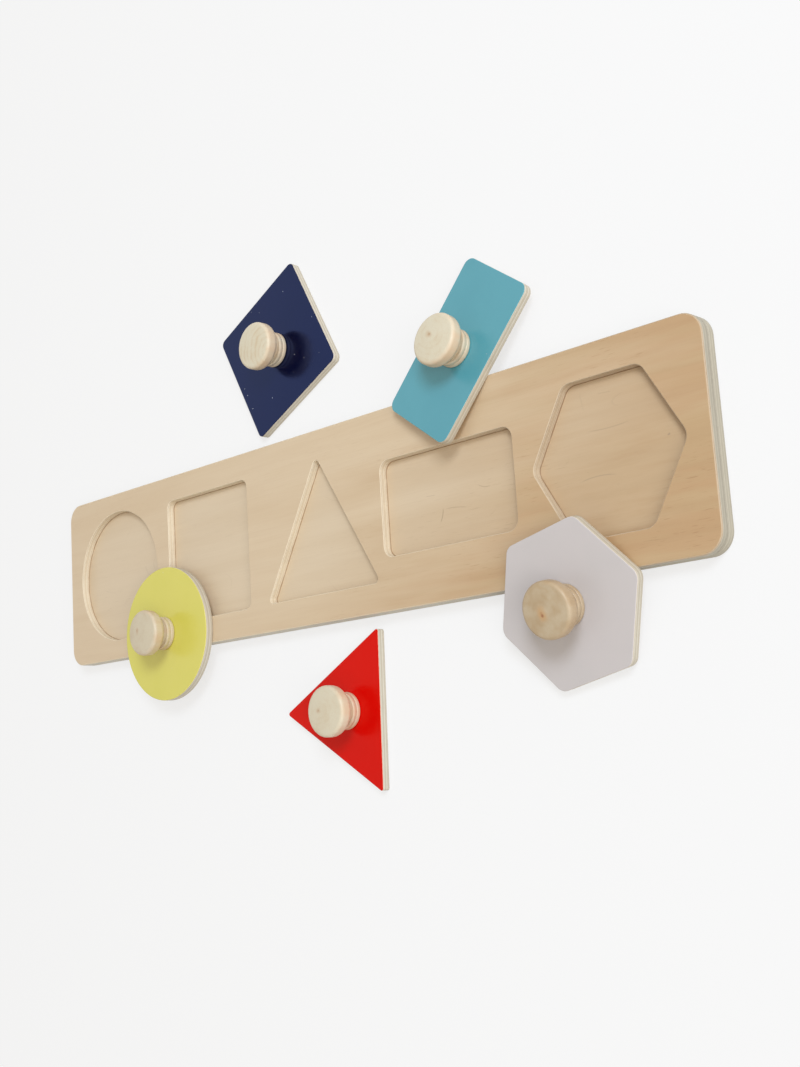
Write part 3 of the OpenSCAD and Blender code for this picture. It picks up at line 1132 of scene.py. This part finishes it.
class Materials:
    """All finished materials, and the dressing of pieces with them."""

    def __init__(self) -> None:
        """Makes the shared effects and every material."""
        effects = Effects()
        self.face = BOARD_FACE.material(effects)
        self.floor = RECESS_FLOOR.material(effects)
        self.plate_back = PLATE_BACK.material(effects)
        self.board_edge = BOARD_EDGE.material(effects)
        self.recess_wall = RECESS_WALL.material(effects)
        self.plate_edge = PLATE_EDGE.material(effects)
        self.knob = KNOB_WOOD.material()
        self.screw = SCREW_ZINC.material()
        self.paints = {shape: paint.material(effects) for shape, paint in PAINTS.items()}

    def dress(
        self,
        piece: Piece,
        body: str,
        materials: Sequence[Material],
        nodes: Sequence[str],
    ) -> None:
        """Gives a piece its materials, its body and the nodes that it stands for.

        Args:
            piece: The piece.
            body: Name of the body that it rides on.
            materials: Its materials, by the index that its faces carry.
            nodes: Names of the solids that it replaces.
        """
        for material in materials:
            piece.data.materials.append(material)
        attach(piece, body)
        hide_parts(*nodes)


# The board and the outlines of the plates that fit its recesses


@dataclass
class PlateSet:
    """Outlines of the five plates. Sizes in mm."""

    disc_d: float = 90.4
    square_side: float = 82.5
    square_r: float = 4.0
    triangle_base: float = 96.0
    triangle_h: float = 82.0
    triangle_r: float = 1.5
    rectangle_l: float = 98.0
    rectangle_w: float = 55.0
    rectangle_r: float = 5.5
    hexagon_flats: float = 81.0
    hexagon_r: float = 6.5

    def tallest(self) -> float:
        """Gives the largest height among the plates, in mm."""
        sides = (self.square_side, self.triangle_h, self.rectangle_w, self.hexagon_flats)
        return max(self.disc_d, *sides)

    def corners(self, shape: Shape) -> tuple[Array, float]:
        """Gives the sharp corners of a plate, about its middle, and its corner radius.

        Args:
            shape: Which plate; the disc has no corners.

        Returns:
            The corners, (m, 2), and the radius, in mm.
        """
        if shape is Shape.SQUARE:
            return rectangle_corners(self.square_side, self.square_side), self.square_r
        if shape is Shape.RECTANGLE:
            return rectangle_corners(self.rectangle_l, self.rectangle_w), self.rectangle_r
        if shape is Shape.TRIANGLE:
            half, third = self.triangle_base / 2, self.triangle_h / 3
            return np.array([[-half, -third], [half, -third], [0.0, 2 * third]]), self.triangle_r
        angles = np.arange(6) * math.pi / 3
        ring = np.stack([np.cos(angles), np.sin(angles)], axis=1)
        return self.hexagon_flats / math.sqrt(3) * ring, self.hexagon_r

    def outline(self, shape: Shape, grow: float = 0.0) -> Outline:
        """Gives a plate's outline about its middle, grown by a distance in mm."""
        if shape is Shape.DISC:
            return Outline.circle(self.disc_d / 2 + grow)
        return Outline.rounded(*self.corners(shape), grow)


@dataclass(frozen=True)
class PanelRays:
    """Rays from a recess's middle across the panel of the board round it.

    Attributes:
        rim: Where the rays cross the recess's outline, in mm on the board.
        far: Where they leave the panel, (n, 2).
        out: Outward normals of the board's outline there, zero on a seam, (n, 2).
        on_edge: True for the rays that end on the board's outline, (n,).
    """

    rim: Outline
    far: Array
    out: Array
    on_edge: Array


@dataclass
class Board:
    """The board: a front sheet with five cut-outs glued to a plain back sheet. Sizes in mm."""

    back_t: float = 5.5
    front_t: float = 5.5
    corner_r: float = 12.0
    long_margin: float = 13.6
    end_margin: float = 14.5
    gaps: tuple[float, ...] = (14.5, 19.5, 7.0, 13.5)
    clearance: float = 1.2
    face_rim: float = 0.8
    recess_rim: float = 0.6
    back_rim: float = 0.6
    glue_groove: float = 0.18
    wall_foot: float = 1.2
    glue_bead: float = 0.45
    corner_steps: int = 16
    edge_points: int = 60
    face_shares: tuple[float, ...] = (0.33, 0.67, 1.0)
    under_shares: tuple[float, ...] = (0.0, 0.5, 1.0)
    floor_shares: tuple[float, ...] = (1.0, 0.9, 0.5, 0.0)
    plates: PlateSet = field(default_factory=PlateSet)

    def __post_init__(self) -> None:
        """Works out the board's size and the places of the recesses."""
        grow = self.clearance
        self.recesses = [self.plates.outline(shape, grow) for shape in Shape]
        halves = [outline.points[:, 0].max() for outline in self.recesses]
        steps = [self.end_margin + halves[0]]
        for gap, left, right in zip(self.gaps, halves, halves[1:]):
            steps.append(steps[-1] + left + gap + right)
        self.length = steps[-1] + halves[-1] + self.end_margin
        self.width = self.plates.tallest() + 2 * (grow + self.long_margin)
        self.thickness = self.back_t + self.front_t
        self.stations = np.array(steps) - self.length / 2
        # A triangle's middle lies a half less a third of its height below its half height
        drop = self.plates.triangle_h * (1 / 2 - 1 / 3)
        drops = [drop if shape is Shape.TRIANGLE else 0.0 for shape in Shape]
        self.centres = np.column_stack([self.stations, -np.array(drops)])
        edges = np.column_stack([self.stations - halves, self.stations + halves])
        self.seams = (edges[:-1, 1] + edges[1:, 0]) / 2

    def outline(self, grow: float = 0.0) -> Outline:
        """Gives the board's outline, grown by a distance in mm."""
        corners = rectangle_corners(self.length, self.width)
        return Outline.rounded(corners, self.corner_r, grow, self.corner_steps, self.edge_points)

    def seam_marks(self, inner: Outline) -> list[Array]:
        """Finds where the rays of both neighbouring recesses meet each seam.

        The face is made of five panels, one round each recess, that meet on straight seams. A ray
        from a recess's middle through a point of its outline meets the seam at the height that
        its slope gives, and the panels on both sides get a point there.

        Args:
            inner: The board's outline at the inner side of its rim.

        Returns:
            For each seam, the places across the board, in mm.
        """
        top = inner.points[:, 1].max()
        marks = []
        for index, seam in enumerate(self.seams):
            hits = []
            for panel in (index, index + 1):
                x, y = self.recesses[panel].points.T
                run = seam - self.centres[panel, 0]
                ahead = x * run > 0
                hits.append(self.centres[panel, 1] + y[ahead] / x[ahead] * run)
            places = np.concatenate([*hits, [-top, top]])
            inside = places[np.abs(places) <= top + WELD_MM]
            marks.append(np.unique(np.round(inside, PLACE_DIGITS)))
        return marks

    def panel_rays(self, index: int, inner: Outline, marks: list[Array]) -> PanelRays:
        """Works out the rays of one panel.

        There is a ray through each point of the recess's outline and each point on a seam. It ends
        on the board's outline, or on a seam that it meets before: the seam's run over the ray's.

        Args:
            index: Number of the recess.
            inner: The board's outline at the inner side of its rim.
            marks: The places of the points on each seam.

        Returns:
            The rays.
        """
        centre, recess = self.centres[index], self.recesses[index]
        bounds = []
        angles = [np.arctan2(recess.points[:, 1], recess.points[:, 0])]
        if index > 0:
            bounds.append((self.seams[index - 1], marks[index - 1]))
        if index < len(self.seams):
            bounds.append((self.seams[index], marks[index]))
        for seam, places in bounds:
            angles.append(np.arctan2(places - centre[1], seam - centre[0]))
        around = np.unique(np.round(np.concatenate(angles), ANGLE_DIGITS))
        ray = np.stack([np.cos(around), np.sin(around)], axis=1)
        crossed = recess.seen_from(np.zeros(2), around)
        rim = Outline(crossed.points + centre, crossed.normals)
        border = inner.seen_from(centre, around)
        reach = np.linalg.norm(border.points - centre, axis=1)
        on_edge = np.ones(len(around), bool)
        for seam, _ in bounds:
            slant = np.where(np.abs(ray[:, 0]) < LEAST_RUN, LEAST_RUN, ray[:, 0])
            run = (seam - centre[0]) / slant
            nearer = (run > 0) & (run < reach - WELD_MM)
            reach = np.where(nearer, run, reach)
            on_edge &= ~nearer
        out = np.where(on_edge[:, None], border.normals, 0.0)
        return PanelRays(rim, centre + reach[:, None] * ray, out, on_edge)

    def panel(self, surface: Surface, rays: PanelRays) -> None:
        """Adds the stretch of the front sheet round one recess.

        The rays carry the profile: in across the face, over the rim, down the recess's wall, over
        the bead of glue at its foot and out across the underside. Where a ray ends on the board's
        outline, a second profile runs up the board's side and over its rim.

        Args:
            surface: Gets the grids.
            rays: The panel's rays.
        """
        rim, far = rays.rim, rays.far
        out = rays.out * self.face_rim
        lip = far - rays.out * FACE_SUPPORT
        near = rim.grown(self.recess_rim)
        step = rim.grown(self.recess_rim + FACE_SUPPORT)
        sine, cosine = quarter()
        top, low = self.thickness, self.back_t
        face = [lifted(far, top), lifted(lip, top)]
        face += [lifted(lip * (1 - share) + step * share, top) for share in self.face_shares]
        flat = len(face)
        face += [
            lifted(near - self.recess_rim * s * rim.normals, top - self.recess_rim * (1 - c))
            for s, c in zip(sine, cosine)
        ]
        groove = out * (1 - self.glue_groove / self.face_rim)
        wall = (top - self.recess_rim - FACE_SUPPORT, low + self.wall_foot, low + self.glue_bead)
        face += [lifted(rim.points, height) for height in wall]
        face += [lifted(rim.grown(-self.glue_bead), low), lifted(far + groove, low)]
        strip = np.arange(len(face) - 1)
        finish = np.where(strip <= flat, FrontSkin.FACE, FrontSkin.WALL)
        foot = [self.wall_foot, self.glue_bead, 0.0, 0.0]
        rims = np.array([self.front_t] * (len(face) - len(foot)) + foot)
        surface.add(np.array(face), finish, rims)
        side = [lifted(far + groove, low), lifted(far + out, low + self.glue_groove)]
        side += [lifted(far + out, top - self.face_rim - FACE_SUPPORT)]
        upright = len(side)
        side += [lifted(far + out * c, top - self.face_rim * (1 - s)) for s, c in zip(sine, cosine)]
        finish = np.full(len(side) - 1, FrontSkin.WALL)
        finish[:upright] = FrontSkin.EDGE
        finish[-1] = FrontSkin.FACE
        rims = np.full(len(side), self.front_t)
        surface.add(np.array(side), finish, rims, keep=rays.on_edge & np.roll(rays.on_edge, -1))

    def front_sheet(self, materials: Materials) -> Piece:
        """Makes the front sheet from its five panels.

        Args:
            materials: The finishes.

        Returns:
            The piece.
        """
        surface = Surface()
        inner = self.outline(-self.face_rim)
        marks = self.seam_marks(inner)
        for index in range(len(self.recesses)):
            self.panel(surface, self.panel_rays(index, inner, marks))
        piece = surface.build("board_front", Placement(), (0, 0, -self.back_t))
        dressing = [materials.face, materials.board_edge, materials.recess_wall]
        materials.dress(piece, "board", dressing, ["front_sheet"])
        return piece

    def back_sheet(self, materials: Materials) -> Piece:
        """Makes the back sheet: a profile from the middle of its underside out, up and in again.

        Args:
            materials: The finishes.

        Returns:
            The piece.
        """
        outline = self.outline()
        sine, cosine = quarter()
        rim = self.back_rim
        inner = outline.grown(-rim)
        lip = outline.grown(-rim - FACE_SUPPORT)
        rows = [lifted(lip * share, 0.0) for share in self.under_shares]
        soft = len(rows)
        rows += [lifted(inner + rim * s * outline.normals, rim * (1 - c)) for s, c in zip(sine, cosine)]
        rows += [lifted(outline.points, rim + FACE_SUPPORT)]
        rows += [lifted(outline.points, self.back_t - self.glue_groove)]
        glued = len(rows)
        edge = outline.grown(-self.glue_groove)
        rows += [lifted(edge * share, self.back_t) for share in self.floor_shares]
        finish = np.full(len(rows) - 1, BackSkin.FLOOR)
        finish[soft:glued] = BackSkin.EDGE
        surface = Surface()
        surface.add(np.array(rows), finish)
        piece = surface.build("board_back", Placement())
        dressing = [materials.floor, materials.board_edge]
        materials.dress(piece, "board", dressing, ["back_sheet"])
        return piece


# The loose pieces


@dataclass
class KnobShape:
    """Half section of the turned knobs. Sizes in mm."""

    head_d: float = 30.4
    head_h: float = 9.4
    rim_r: float = 2.2
    under_r: float = 3.4
    crown: float = 0.6
    neck_d: float = 17.0
    cove_h: float = 4.4
    base_d: float = 22.4
    base_h: float = 6.0
    base_edge_r: float = 1.0
    groove_w: float = 0.9
    groove_depth: float = 0.45
    bore_r: float = 1.85
    bore_h: float = 10.8
    steps: int = 10
    groove_steps: int = 8
    around: int = 120

    def arc(self, centre: tuple[float, float], radius: float, start: float, end: float) -> Array:
        """Gives points on an arc, as radius and height.

        Args:
            centre: Middle of the arc.
            radius: Its radius.
            start: First angle in degrees.
            end: Last angle in degrees.

        Returns:
            The points, (n, 2).
        """
        angles = np.radians(np.linspace(start, end, self.steps + 1))
        return np.array(centre) + radius * np.stack([np.cos(angles), np.sin(angles)], axis=1)

    def profile(self) -> Array:
        """Gives the half section from the top of the bore, down it, out and up to the crown.

        The cove is half an ellipse on each side of the neck, the groove a small cosine dip, and
        the crown a parabola.

        Returns:
            Points as radius and height above the plate, (n, 2).
        """
        head, base, neck = self.head_d / 2, self.base_d / 2, self.neck_d / 2
        edge = self.base_edge_r
        head_z = self.base_h + self.cove_h
        rim_z = head_z + self.head_h - self.crown
        dip = np.linspace(-1, 1, self.groove_steps + 1)
        groove = np.stack(
            [
                base - self.groove_depth * (1 + np.cos(math.pi * dip)) / 2,
                self.base_h / 2 + self.groove_w / 2 * dip,
            ],
            axis=1,
        )
        swing = np.linspace(-math.pi / 2, math.pi / 2, 2 * self.steps + 1)[1:-1]
        wide = np.where(swing < 0, base - edge, head - self.under_r)
        cove = np.stack(
            [
                neck + (wide - neck) * (1 - np.cos(swing)),
                self.base_h + self.cove_h * (1 + np.sin(swing)) / 2,
            ],
            axis=1,
        )
        share = np.linspace(1, 0, self.steps + 1)[1:]
        crown = np.stack([(head - self.rim_r) * share, rim_z + self.crown * (1 - share**2)], axis=1)
        return np.concatenate(
            [
                [[0.0, self.bore_h], [self.bore_r, self.bore_h], [self.bore_r, 0.0]],
                self.arc((base - edge, edge), edge, -90, 0),
                groove,
                self.arc((base - edge, self.base_h - edge), edge, 0, 90),
                cove,
                self.arc((head - self.under_r, head_z + self.under_r), self.under_r, -90, 0),
                self.arc((head - self.rim_r, rim_z - self.rim_r), self.rim_r, 0, 90),
                crown,
            ]
        )

    def sideness(self, count: int) -> Array:
        """Gives 1 for the rows of the half section below the rim, falling to 0 over the rim.

        Args:
            count: Number of points of the half section.

        Returns:
            The numbers, (count,).
        """
        flank = np.ones(count - 2 * self.steps - 1)
        return np.concatenate([flank, np.linspace(1, 0, self.steps + 1), np.zeros(self.steps)])


@dataclass(frozen=True)
class KnobWood:
    """The wood of one knob: where its pith lies, in mm, and how strongly its marks show."""

    pith_x: float
    pith_y: float
    brown: float = 0.0
    spot: float = 0.5
    rings: float = 0.3
    length: float = 0.0

    def shift(self) -> Colour:
        """Gives the shift that brings the pith to the origin, on a stretch of its own."""
        return (-self.pith_x, -self.pith_y, self.length)

    def traits(self) -> Colour:
        """Gives the three numbers that the finish reads."""
        return (self.brown, self.spot, self.rings)


@dataclass
class KnobPiece:
    """A loose piece: a painted plate, its knob and the screw that holds it. Sizes in mm."""

    shape: Shape
    outline: Outline
    placement: Placement
    wood: KnobWood
    thickness: float = 5.5
    face_rim: float = 0.5
    back_rim: float = 0.4
    head_r: float = 3.6
    head_depth: float = 0.6
    under_shares: tuple[float, ...] = (0.5, 1.0)
    paint_insets: tuple[float, ...] = (0.15, 0.4, 0.8)
    paint_shares: tuple[float, ...] = (0.35, 0.7, 1.0)
    within_rim: float = 5.0
    knob_shape: KnobShape = field(default_factory=KnobShape)

    @property
    def body(self) -> str:
        """Name of the body that the piece rides on."""
        return f"{self.shape.value}_piece"

    def plate(self, materials: Materials) -> Piece:
        """Makes the plate: a closed profile carried round the outline.

        The profile runs out across the underside, up the edge with its two soft rims, in across
        the painted face and down the screw's countersunk bore. Across the faces the rows blend
        from circles about the bore to the outline.

        Args:
            materials: The finishes.

        Returns:
            The piece.
        """
        outline = self.outline
        ray = outline.points / np.linalg.norm(outline.points, axis=1, keepdims=True)
        sine, cosine = quarter()
        low, high, top = self.back_rim, self.face_rim, self.thickness
        under = outline.grown(-low - FACE_SUPPORT)
        head, bore = self.head_r * ray, self.knob_shape.bore_r * ray
        cone = self.head_depth + self.head_r - self.knob_shape.bore_r
        rows = [lifted(head, 0.0)]
        rows += [lifted(head * (1 - share) + under * share, 0.0) for share in self.under_shares]
        back_end = len(rows) - 1
        rows += [lifted(outline.grown(low * (s - 1)), low * (1 - c)) for s, c in zip(sine, cosine)]
        rows += [lifted(outline.points, low + FACE_SUPPORT)]
        rows += [lifted(outline.points, top - high - FACE_SUPPORT)]
        edge = len(rows)
        rows += [
            lifted(outline.grown(high * (c - 1)), top - high * (1 - s)) for s, c in zip(sine, cosine)
        ]
        paint = len(rows)
        rows += [lifted(outline.grown(-high - inset), top) for inset in self.paint_insets]
        within = len(rows)
        inner = outline.grown(-high - self.paint_insets[-1])
        rows += [lifted(bore * share + inner * (1 - share), top) for share in self.paint_shares]
        face_end = len(rows) - 1
        rows += [lifted(bore, cone), lifted(head, self.head_depth)]
        rims = np.zeros(len(rows))
        rims[edge:paint] = high * (1 - cosine)
        rims[paint:within] = high + np.array(self.paint_insets)
        rims[within:] = self.within_rim
        finish = np.full(len(rows), PlateSkin.EDGE)
        finish[:back_end] = PlateSkin.BACK
        finish[edge + 1 : face_end] = PlateSkin.PAINT
        surface = Surface()
        surface.add(np.array(rows), finish, rims, closed_profile=True)
        piece = surface.build(f"{self.shape.value}_painted_plate", self.placement)
        dressing = [materials.paints[self.shape], materials.plate_edge, materials.plate_back]
        materials.dress(piece, self.body, dressing, [f"{self.shape.value}_plate"])
        return piece

    def knob(self, materials: Materials) -> Piece:
        """Makes the knob: its half section turned about its axis.

        Args:
            materials: The finishes.

        Returns:
            The piece.
        """
        section = self.knob_shape.profile()
        ring = Outline.circle(1.0, self.knob_shape.around).points
        flat = section[:, None, :1] * ring[None]
        height = np.repeat(section[:, None, 1:], len(ring), axis=1) + self.thickness
        rows = np.concatenate([flat, height], axis=-1)
        finish = np.zeros(len(section) - 1, int)
        surface = Surface()
        surface.add(rows, finish, self.knob_shape.sideness(len(section)))
        name = f"{self.shape.value}_turned_knob"
        piece = surface.build(name, self.placement, self.wood.shift(), self.wood.traits())
        materials.dress(piece, self.body, [materials.knob], [f"{self.shape.value}_knob"])
        return piece

    def screw(self, materials: Materials) -> Piece:
        """Dresses the screw's solid, which has its full shape already, and gives it."""
        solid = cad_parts[f"{self.shape.value}_screw"]
        solid.data.materials.clear()
        solid.data.materials.append(materials.screw)
        return solid


def lean(run: float, rise: float, gap: float) -> float:
    """Gives the slope of a plate that lies over an edge and meets the table.

    Args:
        run: Distance down the slope from the edge to where the plate meets the table, in mm.
        rise: Height of the edge, in mm.
        gap: Room between the plate and the edge, in mm.

    Returns:
        The slope in degrees.
    """
    return math.degrees(math.asin(rise / math.hypot(run, gap)) + math.atan(gap / run))


def spun_reach(outline: Outline, spin: float, direction: float) -> float:
    """Gives how far an outline reaches in a direction once it is spun.

    Args:
        outline: The outline.
        spin: Its turn in degrees.
        direction: The direction in degrees.

    Returns:
        The reach in mm.
    """
    angle = math.radians(direction - spin)
    return float((outline.points @ np.array([math.cos(angle), math.sin(angle)])).max())


@dataclass
class Layout:
    """Where the loose pieces lie about the board, as they are laid out in the part. Sizes in mm."""

    board: Board
    gap: float = 0.3
    disc_shift: float = 61.0
    disc_inset: float = 10.8
    square_shift: float = 72.0
    square_room: float = 9.0
    square_turn: float = 26.0
    triangle_shift: float = 11.0
    triangle_room: float = 8.0
    triangle_turn: float = 88.0
    rectangle_shift: float = 18.0
    rectangle_over: float = 18.6
    rectangle_turn: float = 53.5
    hexagon_shift: float = -30.0
    hexagon_over: float = 12.4
    hexagon_turn: float = 12.0

    def leaning(self, x: float, side: float, over: float, spin: float, outline: Outline) -> Placement:
        """Places a plate that leans on one of the board's long edges.

        Args:
            x: Place along the board.
            side: 1 for the upper edge, -1 for the lower.
            over: How far the plate's middle lies beyond the edge, down the slope.
            spin: Turn in the plate's own plane, in degrees.
            outline: The plate's outline.

        Returns:
            The placement.
        """
        slope = lean(over + spun_reach(outline, spin, 90 * side), self.board.thickness, self.gap)
        sine, cosine = math.sin(math.radians(slope)), math.cos(math.radians(slope))
        out = self.board.width / 2 + self.gap * sine + over * cosine
        up = self.board.thickness + self.gap * cosine - over * sine
        return Placement.laid((x, side * out, up), spin, -side * slope)

    def placement(self, shape: Shape, outline: Outline) -> Placement:
        """Gives the place of one loose piece.

        Args:
            shape: Which piece.
            outline: Its plate's outline.

        Returns:
            The placement.
        """
        station = dict(zip(Shape, self.board.stations))[shape]
        half = self.board.width / 2
        if shape is Shape.DISC:
            up = self.board.thickness + self.gap
            return Placement.laid((station + self.disc_shift, self.disc_inset - half, up))
        if shape is Shape.SQUARE:
            out = half + self.square_room + spun_reach(outline, self.square_turn, 270)
            return Placement.laid((station + self.square_shift, out, 0.0), self.square_turn)
        if shape is Shape.TRIANGLE:
            out = half + self.triangle_room + spun_reach(outline, self.triangle_turn, 90)
            return Placement.laid((station + self.triangle_shift, -out, 0.0), self.triangle_turn)
        if shape is Shape.RECTANGLE:
            x = station + self.rectangle_shift
            return self.leaning(x, 1.0, self.rectangle_over, self.rectangle_turn, outline)
        x = station + self.hexagon_shift
        return self.leaning(x, -1.0, self.hexagon_over, self.hexagon_turn, outline)


# The studio


@dataclass(frozen=True)
class Lamp:
    """A soft rectangular lamp aimed at a point. Places in metres."""

    name: str
    place: Colour
    target: Colour
    size: float
    power: float
    colour: Colour = (1.0, 1.0, 1.0)

    def light(self) -> Piece:
        """Makes the lamp.

        Returns:
            The lamp's object.
        """
        data = bpy.data.lights.new(self.name, "AREA")
        data.shape = "SQUARE"
        data.size = self.size
        data.energy = self.power
        data.color = self.colour
        lamp = bpy.data.objects.new(self.name, data)
        lamp.location = self.place
        aim = Vector(self.target) - Vector(self.place)
        lamp.rotation_euler = aim.to_track_quat("-Z", "Y").to_euler()
        bpy.context.scene.collection.objects.link(lamp)
        return lamp


@dataclass
class Studio:
    """Floor, light and camera. Places in metres, the camera's lens and sensor in mm."""

    floor_half: float = 6.0
    floor_drop: float = 0.0004
    backdrop: Colour = (0.922, 0.922, 0.922)
    floor_glow: float = 0.75
    world_colour: Colour = (1.0, 0.93, 0.83)
    world_level: float = 0.54
    camera_place: Colour = (0.6049, -0.1516, 0.5739)
    camera_target: Colour = (0.064, -0.0157, 0.008)
    camera_roll: float = 83.5
    camera_lens: float = 46.23
    camera_sensor: float = 36.0
    view_depth: float = 50.0
    lamps: tuple[Lamp, ...] = (
        Lamp("key_lamp", (1.77, 1.02, 2.19), (0.05, 0.0, 0.0), 1.0, 49.5, (0.787, 0.874, 1.0)),
        Lamp("front_lamp", (3.1, -0.9, 2.05), (0.05, 0.0, 0.0), 2.0, 50.0),
    )

    @staticmethod
    def seen(graph: Graph) -> Socket:
        """Gives 1 for rays of the camera, mirrored or passed on, that show a surface as backdrop."""
        path = graph.node("ShaderNodeLightPath").outputs
        direct = graph.math("MAXIMUM", path["Is Camera Ray"], path["Is Glossy Ray"])
        return graph.math("MAXIMUM", direct, path["Is Transmission Ray"])

    def floor(self) -> Piece:
        """Makes the pale floor, which glows a little for the camera and still takes shadows.

        Returns:
            The floor.
        """
        half = self.floor_half
        corners = lifted(rectangle_corners(2 * half, 2 * half), -self.floor_drop)
        mesh = bpy.data.meshes.new("studio_floor")
        mesh.from_pydata(corners, [], [[0, 1, 2, 3]])
        material = bpy.data.materials.new("studio_floor_paper")
        material.use_nodes = True
        graph = Graph(material.node_tree)
        material.node_tree.nodes.remove(material.node_tree.nodes["Principled BSDF"])
        paper = graph.node("ShaderNodeBsdfDiffuse", {"Color": self.backdrop})
        glow = graph.node("ShaderNodeEmission", {"Color": self.backdrop, "Strength": 1.0})
        share = graph.math("MULTIPLY", self.seen(graph), self.floor_glow)
        mixed = graph.node("ShaderNodeMixShader", {0: share, 1: paper.outputs[0], 2: glow.outputs[0]})
        graph.feed(mixed.outputs[0], material.node_tree.nodes["Material Output"].inputs["Surface"])
        mesh.materials.append(material)
        floor = bpy.data.objects.new("studio_floor", mesh)
        bpy.context.scene.collection.objects.link(floor)
        return floor

    def world(self) -> None:
        """Makes an even surround that lights the object and shows as the backdrop."""
        world = bpy.data.worlds.new("studio_surround")
        world.use_nodes = True
        graph = Graph(world.node_tree)
        light = world.node_tree.nodes["Background"]
        graph.feed(self.world_colour, light.inputs["Color"])
        graph.feed(self.world_level, light.inputs["Strength"])
        shown = graph.node("ShaderNodeBackground", {"Color": self.backdrop, "Strength": 1.0})
        inputs = {0: self.seen(graph), 1: light.outputs[0], 2: shown.outputs[0]}
        mixed = graph.node("ShaderNodeMixShader", inputs)
        graph.feed(mixed.outputs[0], world.node_tree.nodes["World Output"].inputs["Surface"])
        bpy.context.scene.world = world

    def camera(self) -> Piece:
        """Makes the camera at its place, aimed at its target and rolled about its view.

        Returns:
            The camera.
        """
        data = bpy.data.cameras.new("photo_camera")
        data.lens = self.camera_lens
        data.sensor_width = self.camera_sensor
        data.clip_end = self.view_depth
        place = Vector(self.camera_place)
        ahead = (Vector(self.camera_target) - place).normalized()
        level = Vector((0, 0, 1)) - ahead * ahead.z
        level.normalize()
        side = ahead.cross(level)
        roll = math.radians(self.camera_roll)
        up = level * math.cos(roll) + side * math.sin(roll)
        right = ahead.cross(up)
        turn = Matrix((right, up, -ahead)).transposed().to_4x4()
        camera = bpy.data.objects.new("photo_camera", data)
        camera.matrix_world = Matrix.Translation(place) @ turn
        bpy.context.scene.collection.objects.link(camera)
        bpy.context.scene.camera = camera
        return camera

    def build(self) -> None:
        """Sets up the floor, the surround, the lamps and the camera."""
        bpy.context.scene.view_settings.view_transform = "Standard"
        self.floor()
        self.world()
        for lamp in self.lamps:
            lamp.light()
        self.camera()


KNOB_WOODS = {
    Shape.DISC: KnobWood(-4.3, 1.7, brown=0.35, spot=0.45, rings=0.25, length=30.0),
    Shape.SQUARE: KnobWood(9.0, -14.0, spot=0.0, rings=0.8, length=80.0),
    Shape.TRIANGLE: KnobWood(0.6, 4.6, brown=0.1, spot=0.45, rings=0.2, length=130.0),
    Shape.RECTANGLE: KnobWood(0.9, 3.3, spot=0.6, rings=0.3, length=190.0),
    Shape.HEXAGON: KnobWood(-2.2, -1.5, brown=0.93, spot=1.15, rings=0.7, length=240.0),
}


def main() -> None:
    """Builds the studio, the board and the five loose pieces, and reports each piece."""
    logging.basicConfig(level=logging.INFO, format="%(message)s")
    Studio().build()
    materials = Materials()
    board = Board()
    made = [board.front_sheet(materials), board.back_sheet(materials)]
    layout = Layout(board)
    for shape in Shape:
        outline = board.plates.outline(shape)
        loose = KnobPiece(shape, outline, layout.placement(shape, outline), KNOB_WOODS[shape])
        made += [loose.plate(materials), loose.knob(materials), loose.screw(materials)]
    for piece in made:
        LOG.info("%s: %d faces", piece.name, len(piece.data.polygons))


if __name__ == "__main__":
    main()
